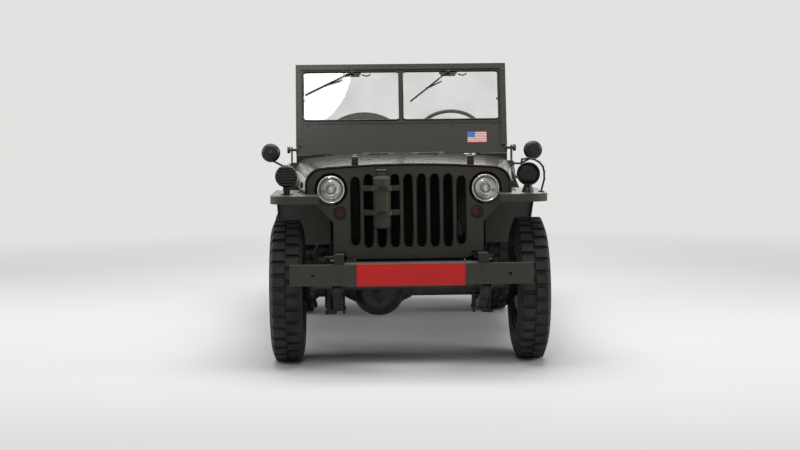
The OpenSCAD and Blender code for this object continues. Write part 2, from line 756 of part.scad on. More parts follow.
// Exhaust pipe and silencer along the right side
module exhaust() color("dimgray") {
    tube_path([[-105, 300, 650], [-200, 300, 650], [-260, 420, 520], [-260, 900, 430],
        [-470, 1060, 430], [-470, 1110, 430]], 20);
    rod_y([-470, 1100, 430], 380, 62);
    tube_path([[-470, 1470, 430], [-470, 1520, 430], [-640, 1560, 430]], 18);
    block([-476, 1285, 470], [-456, 1315, rail_z]);
}

// Steering column, gear and bracket
module steering_gear() color("dimgray") {
    rod(column_point(-1050), column_point(-22), column_r);
    rod(column_point(-30), column_point(14), shaft_r);
    block([rail_in - 64, 510, 452], [rail_in, 620, 560]);
    difference() {
        block([column_x - 30, cowl_rear_y, 800], [column_x + 30, cowl_rear_y + 12, 880]);
        rod(column_point(-1050), column_top, column_r - 1);
    }
}
function column_point(s) = column_top + s * [0, cos(column_deg), sin(column_deg)];

// Three-spoke steering wheel
module steering_wheel() color("black") translate(column_top) rotate([column_deg - 90, 0, 0]) {
    difference() {
        union() {
            rotate_extrude() translate([(steer_wheel_d - steer_rim_d) / 2, 0]) circle(d = steer_rim_d);
            translate([0, 0, -14]) cylinder(h = 36, r = 30);
            for (a = [90, 210, 330]) rotate([0, 0, a])
                rod_x([20, 0, 0], (steer_wheel_d - steer_rim_d) / 2 - 20, 7);
        }
        translate([0, 0, -15]) cylinder(h = 31, r = shaft_r + pin_gap);
    }
}

// Swivelling knuckle with spindle, brake plate and steering arm
module knuckle() color("dimgray") difference() {
    union() {
        rotate([0, 90, 0]) rotate_extrude() difference() {
            union() {
                intersection() {
                    circle(r = ball_r + panel_gap + 13);
                    translate([0, -18]) square([100, plate_x - kingpin_x + 19]);
                }
                translate([0, plate_x - kingpin_x]) square([drum_r - 4, 6]);
            }
            circle(r = ball_r + panel_gap);
            translate([-200, -200]) square([200, 400]);
        }
        for (z = [-90, 62]) rod_z([0, 0, z], 28, 26);
        rod_x([plate_x - kingpin_x + 2, 0, 0], half_track + spindle_end - plate_x - 2, spindle_r);
        block([-12, -arm_l, -9], [12, -ball_r - panel_gap - 4, 9]);
        rod_z([0, -arm_l, -9], 18, 21);
    }
    rod_z([0, 0, -100], 200, kingpin_r + pin_gap);
    rod_z([0, -arm_l, -20], 40, tie_pin_r + pin_gap);
}
module steering_knuckle_left() translate([kingpin_x, 0, tyre_r]) knuckle();
module steering_knuckle_right() mirror([1, 0, 0]) steering_knuckle_left();

// Rod that joins the steering arms
module tie_rod() color("dimgray") translate([0, -arm_l, tyre_r]) {
    rod_x([-kingpin_x, 0, 28], 2 * kingpin_x, 12);
    both_sides() {
        rod_z([kingpin_x, 0, 14], 30, 19);
        rod_z([kingpin_x, 0, -14], 30, tie_pin_r);
    }
}

// Places the folding windshield on its pivots
module shield_place() translate([0, shield_y, shield_z]) rotate([-shield_lean, 0, 0]) children();

// Outline of one glass opening
module pane_outline() translate([12, shield_panel_h + 22])
    square([shield_half - shield_bar - sash - 12, shield_h - shield_bar - sash - shield_panel_h - 22]);

// Windshield frame with lower panel and pivot pins
module windshield_frame() color("olive") shield_place() {
    along_y(-shield_t / 2, shield_t / 2) difference() {
        translate([-shield_half, 18]) square([shield_w, shield_h - 18]);
        translate([-shield_half + shield_bar, 0]) square([shield_w - 2 * shield_bar, shield_h - shield_bar]);
    }
    along_y(-6, 6) difference() {
        translate([-shield_half + shield_bar, shield_panel_h])
            square([shield_w - 2 * shield_bar, shield_h - shield_bar - shield_panel_h]);
        pane_outline();
        mirror([1, 0, 0]) pane_outline();
    }
    along_y(-4, 4) translate([-shield_half, -30]) square([shield_w, shield_panel_h + 31]);
    both_sides() {
        rod_x([shield_half - 10, 0, 0], 10, 20);
        block([shield_half - 10, -14, 0], [shield_half, 14, 20]);
        rod_x([shield_half - 1, 0, 0], 52, pivot_r);
        rod_x([648, 0, 0], 16, 20);
    }
}

// Two panes of glass
module windshield_glass() color("lightblue") shield_place() along_y(-glass_t / 2, glass_t / 2) {
    pane_outline();
    mirror([1, 0, 0]) pane_outline();
}

// Wiper arms and blades at the top of the glass
module wipers() color("black") shield_place() for (w = [[-284, -557, 322], [279, 54, 278]]) {
    p = [w[0], -18, shield_h - shield_bar - 16];
    q = [w[1], -14, w[2]];
    rod_y([p[0], -26, p[2]], 20, 11);
    rod(p, q, 4);
    rod(p + 0.25 * (q - p) + [0, 4, 0], q + [0, 4, 0], 5);
}

// Tube frames of the seats
module seat_frames() color("olive") {
    both_sides() for (x = [seat_x - seat_half, seat_x + seat_half]) {
        tube_path([[x, 1350, floor_z], [x, 1350, seat_bar_z], [x, 1740, seat_bar_z],
            [x, 1800, 1120]], seat_tube_r);
        rod([x, 1690, floor_z + 8], [x, 1730, seat_bar_z], seat_tube_r - 1);
        rod_z([x, 1690, floor_z], 16, seat_tube_r + 6);
    }
    both_sides() rod([seat_x - seat_half, 1800, 1120], [seat_x + seat_half, 1800, 1120], seat_tube_r - 1);
    both_sides() rod([seat_x - seat_half, 1350, seat_bar_z], [seat_x + seat_half, 1350, seat_bar_z],
        seat_tube_r - 1);
    both_sides() translate([380, 0, 0]) tube_path([[0, 2190, floor_z], [0, 2190, bench_bar_z],
        [0, 2480, bench_bar_z], [0, 2540, 1020]], seat_tube_r);
    rod([-380, 2190, bench_bar_z], [380, 2190, bench_bar_z], seat_tube_r - 1);
    rod([-380, 2540, 1020], [380, 2540, 1020], seat_tube_r - 1);
}

// Cushions and back pads
module seat_cushions() color("darkolivegreen") {
    both_sides() {
        along_x(seat_x - seat_half - 8, seat_x + seat_half + 8)
            round_rect(1330, seat_bar_z + seat_tube_r + seat_gap, 1720, seat_z, 30);
        along_x(seat_x - seat_half + seat_tube_r + seat_gap, seat_x + seat_half - seat_tube_r - seat_gap)
            translate([1742, seat_z + 24]) rotate(-9) round_rect(0, 0, 46, 216, 20);
    }
    along_x(-390, 390) round_rect(2170, bench_bar_z + seat_tube_r + seat_gap, 2460, seat_z - 30, 28);
    along_x(-380 + seat_tube_r + seat_gap, 380 - seat_tube_r - seat_gap)
        translate([2480, seat_z + 6]) rotate(-9) round_rect(0, 0, 42, 132, 18);
}

// Gear levers and pedals
module hand_controls() color("dimgray") {
    rod_z([0, 990, tunnel_z], 18, 26);
    tube_path([[0, 990, tunnel_z + 4], [0, 990, 770], [30, 1120, 960]], 8);
    translate([30, 1120, 960]) sphere(r = 20);
    for (x = [-50, -92]) {
        rod_z([x, 1120, tunnel_z], 14, 18);
        rod([x, 1120, tunnel_z + 6], [x, 1150, 880], 7);
        translate([x, 1150, 880]) sphere(r = 14);
    }
    difference() {
        // Pedals: place across, height, half width, half height
        for (c = [[225, 720, 28, 32], [380, 720, 28, 32], [450, 705, 15, 40]]) {
            rod_y([c[0], 790, c[1]], 140, 8);
            block([c[0] - c[2], 926, c[1] - c[3]], [c[0] + c[2], 936, c[1] + c[3]]);
        }
        toe_board();
    }
}

// Small lamps on the rear panel
module tail_lamps() color("darkred") both_sides() {
    rod_y([630, body_rear_y, 720], 30, 34);
    block([596, body_rear_y, 676], [664, body_rear_y + 6, 764]);
}

// Tow hook and spare wheel carrier
module rear_fittings() color("dimgray") {
    block([-70, rail_rear_y, rail_low + 4], [70, rail_rear_y + 14, rail_z - 2]);
    rod_y([0, rail_rear_y, hook_z], hook_l - hook_r - 4, 24);
    difference() {
        rod_x([-19, rail_rear_y + hook_l, hook_z], 38, 52);
        rod_x([-20, rail_rear_y + hook_l, hook_z], 40, hook_r);
    }
    translate([spare_x, body_rear_y, spare_z]) {
        block([-90, 0, -110], [90, 10, 20]);
        rod_y([0, 0, 0], carrier_l + tyre_w / 2, 40);
        rod_y([0, carrier_l + tyre_w / 2 - 8, 0], disc_in + 8, nut_circle / 2 - 20);
    }
}
hook_z = 516;
hook_r = 26;
hook_l = 144;

// Wheel with rim, disc and nuts; a running wheel has the hub and drum too
module wheel(running) color("olive") difference() {
    union() {
        rotate([0, 90, 0]) rotate_extrude($fn = 96) {
            rim_section();
            disc_section();
        }
        for (i = [0 : nut_count - 1]) rotate([360 / nut_count * i, 0, 0])
            rod_x([5, 0, nut_circle / 2], 24, 12, $fn = 6);
        if (running) {
            rod_x([-drum_in, 0, 0], drum_in + 7, drum_r);
            rod_x([0, 0, 0], 78, 42);
            rod_x([70, 0, 0], 24, 30);
        }
    }
    if (running) rod_x([-drum_in - 1, 0, 0], drum_in + spindle_end + 6, spindle_r + pin_gap);
}
module rim_section() polygon([[rim_r + 14, -rim_half - 6], [rim_r + 14, -rim_half], [rim_r, -rim_half],
    [rim_r, -40], [rim_r - 18, -28], [rim_r - 18, 28], [rim_r, 40], [rim_r, rim_half],
    [rim_r + 14, rim_half], [rim_r + 14, rim_half + 6], [rim_r - 6, rim_half + 6], [rim_r - 6, 42],
    [rim_r - 24, 30], [rim_r - 24, -30], [rim_r - 6, -42], [rim_r - 6, -rim_half - 6]]);
module disc_section() polygon([[46, disc_in], [100, disc_in], [150, 22], [rim_r - 22, 6], [rim_r - 22, 15],
    [152, 31], [102, 14], [46, 14]]);

// Tyre with two staggered rows of lugs, axis along X
module tyre() color("black") {
    base_r = tyre_r - lug_depth;
    rotate([0, 90, 0]) rotate_extrude($fn = 34) difference() {
        polygon([[rim_r + seat_gap, -rim_half + seat_gap], [rim_r + 22, -tyre_w / 2 + 8],
            [rim_r + 62, -tyre_w / 2], [base_r - 42, -tyre_w / 2 + 2], [base_r - 10, -tread_w / 2 - 4],
            [base_r, -tread_w / 2 + 10], [base_r, tread_w / 2 - 10], [base_r - 10, tread_w / 2 + 4],
            [base_r - 42, tyre_w / 2 - 2], [rim_r + 62, tyre_w / 2], [rim_r + 22, tyre_w / 2 - 8],
            [rim_r + seat_gap, rim_half - seat_gap]]);
        for (s = [-1, 1]) translate([0, s * (rim_half - seat_gap + 50) - 50]) square([rim_r + 16, 100]);
    }
    w = 1.24 * PI * tyre_r / lug_count;
    top = sqrt(tyre_r * tyre_r - w * w / 4);
    for (i = [0 : lug_count - 1], k = [0, 1]) mirror([k, 0, 0])
        rotate([360 / lug_count * (i + k / 2) + asin(w / 2 / tyre_r), 0, 0]) along_y(-w / 2, w / 2)
            polygon([[4, 12 - tyre_r + lug_depth], [4, -top], [tread_w / 2 - 2, -top],
                [tread_w / 2 + 12, 34 - top], [tread_w / 2, 44 - top], [tread_w / 2 - 12, 12 - tyre_r + lug_depth]]);
}

module wheel_front_left() translate([half_track, 0, tyre_r]) wheel(true);
module wheel_front_right() mirror([1, 0, 0]) wheel_front_left();
module wheel_rear_left() translate([half_track, wheelbase, tyre_r]) wheel(true);
module wheel_rear_right() mirror([1, 0, 0]) wheel_rear_left();
module wheel_spare() translate([spare_x, spare_y, spare_z]) rotate([0, 0, 90]) wheel(false);
module tyre_front_left() translate([half_track, 0, tyre_r]) tyre();
module tyre_front_right() mirror([1, 0, 0]) tyre_front_left();
module tyre_rear_left() translate([half_track, wheelbase, tyre_r]) tyre();
module tyre_rear_right() mirror([1, 0, 0]) tyre_rear_left();
module tyre_spare() translate([spare_x, spare_y, spare_z]) rotate([0, 0, 90]) tyre();

on_ground() frame_rails();
on_ground() front_bumper();
on_ground() rear_bumperettes();
on_ground() body_floor();
on_ground() body_side_left();
on_ground() body_side_right();
on_ground() body_rear_panel();
on_ground() wheel_houses();
on_ground() cowl();
on_ground() hood();
on_ground() grille();
on_ground() front_wings();
on_ground() headlamps();
on_ground() headlamp_lenses();
on_ground() marker_lamps();
on_ground() blackout_lamp();
on_ground() siren();
on_ground() mirrors();
on_ground() decontaminator();
on_ground() radiator();
on_ground() engine();
on_ground() gearbox();
on_ground() front_axle();
on_ground() rear_axle();
on_ground() propeller_shafts();
on_ground() leaf_springs();
on_ground() shock_absorbers();
on_ground() exhaust();
on_ground() steering_gear();
on_ground() steering_wheel();
on_ground() steering_knuckle_left();
on_ground() steering_knuckle_right();
on_ground() tie_rod();
on_ground() windshield_frame();
on_ground() windshield_glass();
on_ground() wipers();
on_ground() seat_frames();
on_ground() seat_cushions();
on_ground() hand_controls();
on_ground() tail_lamps();
on_ground() rear_fittings();
on_ground() wheel_front_left();
on_ground() wheel_front_right();
on_ground() wheel_rear_left();
on_ground() wheel_rear_right();
on_ground() wheel_spare();
on_ground() tyre_front_left();
on_ground() tyre_front_right();
on_ground() tyre_rear_left();
on_ground() tyre_rear_right();
on_ground() tyre_spare();
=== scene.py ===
"""Looks of an open army utility car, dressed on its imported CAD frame."""
from __future__ import annotations

import json
import logging
import math
from dataclasses import dataclass, field
from enum import Enum
from typing import Sequence

import bmesh
import bpy
from mathutils import Matrix, Vector

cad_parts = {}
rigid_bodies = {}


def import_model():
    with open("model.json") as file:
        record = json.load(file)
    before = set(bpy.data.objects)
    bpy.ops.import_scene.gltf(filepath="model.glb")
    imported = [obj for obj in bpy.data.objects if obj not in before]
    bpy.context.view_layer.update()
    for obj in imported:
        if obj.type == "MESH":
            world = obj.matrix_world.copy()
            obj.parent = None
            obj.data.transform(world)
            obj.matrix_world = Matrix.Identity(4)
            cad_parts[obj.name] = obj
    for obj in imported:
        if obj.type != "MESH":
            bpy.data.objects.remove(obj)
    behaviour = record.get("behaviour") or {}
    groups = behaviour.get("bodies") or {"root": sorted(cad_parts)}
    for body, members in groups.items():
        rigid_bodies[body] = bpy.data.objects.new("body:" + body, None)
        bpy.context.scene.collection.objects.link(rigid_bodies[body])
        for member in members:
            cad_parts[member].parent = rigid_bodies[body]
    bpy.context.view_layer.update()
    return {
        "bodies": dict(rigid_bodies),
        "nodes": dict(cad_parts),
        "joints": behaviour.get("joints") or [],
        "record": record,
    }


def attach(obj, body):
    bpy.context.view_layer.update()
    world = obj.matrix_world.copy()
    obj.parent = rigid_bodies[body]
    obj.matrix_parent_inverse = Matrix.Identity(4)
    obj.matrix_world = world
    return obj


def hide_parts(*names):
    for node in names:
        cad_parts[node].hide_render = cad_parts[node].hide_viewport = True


LOG = logging.getLogger("scene")
Pair = tuple[float, float]
Point = tuple[float, float, float]
Colour = tuple[float, float, float]
Tree = bpy.types.NodeTree
Socket = bpy.types.NodeSocket

# Front axle in the row frame, so that places read from the photo can be given from the axle
AXLE_Y = -1.1405
FRONT = Vector((0, -1, 0))
BACK = Vector((0, 1, 0))
UP = Vector((0, 0, 1))

# Degrees over which an edge of a CAD node stays sharp, then the same and the weld of a softened node
SHARP = 32
SPLIT = 28
WELD = 0.00002


class Body(str, Enum):
    """Rigid bodies of the car."""

    CHASSIS = "chassis"
    HOOD = "hood"
    WINDSHIELD = "windshield"
    FRONT_LEFT = "front_left_wheel"
    FRONT_RIGHT = "front_right_wheel"
    REAR_LEFT = "rear_left_wheel"
    REAR_RIGHT = "rear_right_wheel"


class Slot(str, Enum):
    """Material slots of the record."""

    BODY = "body_paint"
    WHEEL = "wheel_paint"
    BLACK = "chassis_black"
    BRIGHT = "bright_metal"
    GLASS = "clear_glass"
    RED = "red_lens"
    CANVAS = "canvas"
    RUBBER = "hard_rubber"
    TYRE = "tyre"
    IRON = "engine_iron"


def at(x: float, y: float, z: float) -> Vector:
    """Place in the row frame.

    Args:
        x: Millimetres to the car's left.
        y: Millimetres behind the front axle.
        z: Millimetres above the ground.

    Returns:
        The place in metres.
    """
    return Vector((x / 1000, y / 1000 + AXLE_Y, z / 1000))


class Nodes:
    """Short ways to add nodes to one shader tree."""

    def __init__(self, tree: Tree) -> None:
        """Keeps the tree.

        Args:
            tree: Tree of a material, world or group.
        """
        self.tree = tree

    def new(self, kind: str) -> bpy.types.Node:
        """Adds a node.

        Args:
            kind: Ending of the node's type.

        Returns:
            The node.
        """
        return self.tree.nodes.new(f"ShaderNode{kind}")

    def feed(self, sock: Socket, part: Socket | Colour | float) -> None:
        """Links an input to a socket, or sets its own value.

        Args:
            sock: The input.
            part: Socket, colour or number.
        """
        if isinstance(part, Socket):
            self.tree.links.new(part, sock)
        else:
            sock.default_value = part if isinstance(part, (int, float)) else (*part, 1.0)

    def noise(self, vector: Socket, scale: Socket | float, detail: float = 4.0,
            rough: float = 0.55) -> Socket:
        """Adds a noise texture.

        Args:
            vector: Coordinates.
            scale: Scale of the noise.
            detail: Octaves.
            rough: Roughness of the octaves.

        Returns:
            Its value.
        """
        node = self.new("TexNoise")
        for name, part in (("Vector", vector), ("Scale", scale), ("Detail", detail), ("Roughness", rough)):
            self.feed(node.inputs[name], part)
        return node.outputs["Fac"]

    def band(self, value: Socket, low: float, high: float) -> Socket:
        """Maps a stretch of a value to 0..1 with a soft start and end.

        Args:
            value: The value.
            low: Value that gives 0.
            high: Value that gives 1.

        Returns:
            The result.
        """
        node = self.new("MapRange")
        node.interpolation_type = "SMOOTHSTEP"
        for name, part in (("Value", value), ("From Min", low), ("From Max", high)):
            self.feed(node.inputs[name], part)
        return node.outputs["Result"]

    def math(self, kind: str, a: Socket | float, b: Socket | float) -> Socket:
        """Adds a math node.

        Args:
            kind: Operation.
            a: First value.
            b: Second value.

        Returns:
            The result.
        """
        node = self.new("Math")
        node.operation = kind
        self.feed(node.inputs[0], a)
        self.feed(node.inputs[1], b)
        return node.outputs[0]

    def times(self, a: Socket | float, b: Socket | float) -> Socket:
        """Multiplies two values.

        Args:
            a: First value.
            b: Second value.

        Returns:
            The product.
        """
        return self.math("MULTIPLY", a, b)

    def mix(self, factor: Socket | float, a: Socket | Colour, b: Socket | Colour) -> Socket:
        """Mixes two colours.

        Args:
            factor: Share of the second colour.
            a: First colour.
            b: Second colour.

        Returns:
            The colour.
        """
        node = self.new("Mix")
        node.data_type = "RGBA"
        for name, kind, part in (("Factor", "VALUE", factor), ("A", "RGBA", a), ("B", "RGBA", b)):
            self.feed(next(s for s in node.inputs if s.name == name and s.type == kind), part)
        return next(s for s in node.outputs if s.type == "RGBA")


def weather() -> Tree:
    """Group that all finishes share: colour and roughness with dust, a wear mask and a fine normal.

    Returns:
        The node tree.
    """
    found = bpy.data.node_groups.get("weather")
    if found:
        return found
    value, colour, vector = "NodeSocketFloat", "NodeSocketColor", "NodeSocketVector"
    tree = bpy.data.node_groups.new("weather", "ShaderNodeTree")
    for label, kind, start in (("Base", colour, (0.1, 0.1, 0.1, 1)),
            ("Dust Colour", colour, (0.3, 0.27, 0.22, 1)), ("Dust", value, 0.3), ("Wear", value, 0.3),
            ("Rough", value, 0.4), ("Grain", value, 60.0), ("Relief", value, 0.1), ("Vary", value, 0.18)):
        tree.interface.new_socket(label, in_out="INPUT", socket_type=kind).default_value = start
    for label, kind in (("Colour", colour), ("Rough", value), ("Wear", value), ("Normal", vector)):
        tree.interface.new_socket(label, in_out="OUTPUT", socket_type=kind)
    given = tree.nodes.new("NodeGroupInput").outputs
    result = tree.nodes.new("NodeGroupOutput").inputs
    n = Nodes(tree)
    coord = n.new("TexCoord").outputs["Object"]
    facing, place = n.new("SeparateXYZ"), n.new("SeparateXYZ")
    n.feed(facing.inputs[0], n.new("NewGeometry").outputs["Normal"])
    n.feed(place.inputs[0], coord)
    broad = n.noise(coord, 2.3, 5.0)
    patch = n.noise(coord, 11.0, 6.0, 0.65)
    fine = n.noise(coord, 140.0, 3.0)
    up = n.band(facing.outputs["Z"], 0.1, 0.95)
    low = n.band(place.outputs["Z"], 0.75, 0.15)
    settle = n.math("MAXIMUM", n.times(up, 0.45), low)
    dusty = n.times(n.times(settle, given["Dust"]), n.band(patch, 0.25, 0.75))
    tint = n.mix(n.times(n.band(broad, 0.35, 0.7), 0.22), given["Base"], (0.02, 0.02, 0.018))
    n.feed(result["Colour"], n.mix(dusty, tint, given["Dust Colour"]))
    scuff = n.times(n.band(fine, 0.62, 0.7), n.band(patch, 0.58, 0.72))
    n.feed(result["Wear"], n.times(scuff, given["Wear"]))
    rough = n.math("ADD", given["Rough"], n.times(dusty, 0.45))
    vary = n.times(n.math("SUBTRACT", patch, 0.5), given["Vary"])
    n.feed(result["Rough"], n.math("ADD", rough, vary))
    bump = n.new("Bump")
    bump.inputs["Distance"].default_value = 0.0015
    n.feed(bump.inputs["Strength"], given["Relief"])
    n.feed(bump.inputs["Height"], n.noise(coord, given["Grain"], 3.0, 0.5))
    n.feed(result["Normal"], bump.outputs["Normal"])
    return tree


@dataclass(frozen=True)
class Finish:
    """A surface finish, built once as a material.

    Attributes:
        name: Name of the material.
        colour: Base colour, linear.
        rough: Roughness.
        metal: Metalness.
        coat: Weight of a clear coat.
        dust: How much dust lies on it.
        wear: How much the paint is chipped.
        under: Colour that shows where the paint is chipped.
        grain: Scale of the fine relief.
        relief: Strength of the fine relief.
        edge: Radius in metres of softened edges, 0 for none.
        clear: Transmission weight.
        sheen: Cloth sheen.
        vary: How much the roughness changes over the surface.
        spec: Level of the mirror-like reflection, 0.5 for plain glass or lacquer.
        slot: Material slot of the record that it stands for, if any. Not used.
    """

    name: str
    colour: Colour
    rough: float = 0.4
    metal: float = 0.0
    coat: float = 0.0
    dust: float = 0.0
    wear: float = 0.0
    under: Colour = (0.16, 0.15, 0.13)
    grain: float = 90.0
    relief: float = 0.08
    edge: float = 0.003
    clear: float = 0.0
    sheen: float = 0.0
    vary: float = 0.18
    spec: float = 0.3
    slot: Slot | None = None

    def material(self) -> bpy.types.Material:
        """Builds the material, or finds it.

        Returns:
            The material.
        """
        label = f"look_{self.name}"
        found = bpy.data.materials.get(label)
        if found:
            return found
        mat = bpy.data.materials.new(label)
        mat.use_nodes = True
        n = Nodes(mat.node_tree)
        bsdf = n.tree.nodes["Principled BSDF"]
        group = n.new("Group")
        group.node_tree = weather()
        for socket, part in (("Base", self.colour), ("Dust", self.dust), ("Wear", self.wear),
                ("Rough", self.rough), ("Grain", self.grain), ("Relief", self.relief), ("Vary", self.vary)):
            n.feed(group.inputs[socket], part)
        shade = n.mix(group.outputs["Wear"], group.outputs["Colour"], self.under)
        normal = group.outputs["Normal"] if self.relief > 0 else None
        if self.edge > 0:
            bevel = n.new("Bevel")
            bevel.samples = 4
            bevel.inputs["Radius"].default_value = self.edge
            if normal is not None:
                n.feed(bevel.inputs["Normal"], normal)
            normal = bevel.outputs["Normal"]
        if normal is not None:
            n.feed(bsdf.inputs["Normal"], normal)
        for socket, part in (("Base Color", shade), ("Roughness", group.outputs["Rough"]),
                ("Metallic", self.metal), ("Coat Weight", self.coat), ("Coat Roughness", 0.12),
                ("Transmission Weight", self.clear), ("Sheen Weight", self.sheen),
                ("Specular IOR Level", 0.5 if self.clear or self.metal else self.spec)):
            n.feed(bsdf.inputs[socket], part)
        return mat


class Palette:
    """All finishes of the car."""

    PAINT = Finish("olive_paint", (0.031, 0.029, 0.0195), rough=0.47, coat=0.08, dust=0.07, wear=0.25,
        relief=0.03, slot=Slot.BODY)
    HOOD = Finish("hood_paint", (0.026, 0.025, 0.0185), rough=0.17, coat=0.2, relief=0.0, edge=0.0,
        vary=0.0, slot=Slot.BODY)
    WHEEL = Finish("wheel_paint", (0.025, 0.024, 0.0165), rough=0.42, coat=0.1, dust=0.2, wear=0.2,
        slot=Slot.WHEEL)
    # Black chassis paint, made darker than the paint itself as painted shade under the car.
    FRAME_AND_SHADE = Finish("chassis_black", (0.0065, 0.0065, 0.006), rough=0.5, dust=0.12, wear=0.4,
        slot=Slot.BLACK)
    FITTING = Finish("fitting_black", (0.008, 0.008, 0.0075), rough=0.34, dust=0.05, wear=0.3,
        slot=Slot.BLACK)
    # Near-black radiator paint, darker than the paint itself and with little reflection: real black paint
    # plus painted shade inside the grille slots.
    CORE_AND_SHADE = Finish("radiator_black_and_shade", (0.003, 0.003, 0.003), rough=0.7, edge=0.0, spec=0.05, slot=Slot.BLACK)
    IRON = Finish("engine_iron", (0.03, 0.035, 0.027), rough=0.55, dust=0.15, wear=0.2, grain=220,
        relief=0.3, slot=Slot.IRON)
    TYRE = Finish("tyre_rubber", (0.0105, 0.0105, 0.011), rough=0.66, dust=0.1, grain=260, relief=0.22,
        spec=0.22, slot=Slot.TYRE)
    RUBBER = Finish("hard_rubber", (0.009, 0.009, 0.009), rough=0.45, dust=0.03, edge=0.001,
        slot=Slot.RUBBER)
    CHROME = Finish("bright_metal", (0.75, 0.75, 0.74), rough=0.08, metal=1.0, dust=0.05, relief=0.0,
        slot=Slot.BRIGHT)
    STEEL = Finish("bare_steel", (0.34, 0.33, 0.31), rough=0.34, metal=1.0, dust=0.2, edge=0.0006,
        slot=Slot.BRIGHT)
    BULB = Finish("bulb_cap", (0.97, 0.95, 0.9), rough=0.28, metal=1.0, relief=0.0, edge=0.0, vary=0.0,
        slot=Slot.BRIGHT)
    CANVAS = Finish("olive_canvas", (0.09, 0.085, 0.05), rough=0.85, dust=0.2, grain=900, relief=0.5,
        edge=0.0, sheen=0.3, slot=Slot.CANVAS)
    RED = Finish("sign_red", (0.62, 0.02, 0.02), rough=0.5, coat=0.05, wear=0.03, edge=0.001, spec=0.2)
    WHITE = Finish("sign_white", (0.82, 0.81, 0.79), rough=0.4, edge=0.0)
    MARK_RED = Finish("mark_red", (0.66, 0.1, 0.09), rough=0.4, edge=0.0, spec=0.2)
    BLUE = Finish("sign_blue", (0.07, 0.2, 0.52), rough=0.4, edge=0.0, spec=0.2)
    DIAL = Finish("dial_black", (0.008, 0.008, 0.008), rough=0.25, dust=0.05, edge=0.0, slot=Slot.RUBBER)
    MIRROR = Finish("mirror_glass", (0.82, 0.83, 0.84), rough=0.03, metal=1.0, dust=0.02, relief=0.0,
        edge=0.0, slot=Slot.BRIGHT)
    GLASS = Finish("window_glass", (0.985, 0.99, 0.985), rough=0.0, dust=0.01, relief=0.0, edge=0.0,
        clear=1.0, vary=0.0, slot=Slot.GLASS)
    LENS = Finish("lamp_glass", (0.97, 0.98, 0.98), rough=0.0, relief=0.0, edge=0.0, clear=1.0, vary=0.0,
        slot=Slot.GLASS)
    RED_LENS = Finish("red_lens", (0.055, 0.003, 0.005), rough=0.3, coat=0.1, edge=0.0, vary=0.03,
        spec=0.2, slot=Slot.RED)
    REFLECTOR = Finish("lamp_reflector", (0.9, 0.9, 0.89), rough=0.05, metal=1.0, relief=0.0, edge=0.0,
        vary=0.02, slot=Slot.BRIGHT)


def link(name: str, data: bpy.types.ID) -> bpy.types.Object:
    """Puts data in the scene.

    Args:
        name: Name of the object.
        data: Mesh, lamp or camera.

    Returns:
        The object.
    """
    obj = bpy.data.objects.new(name, data)
    bpy.context.scene.collection.objects.link(obj)
    return obj


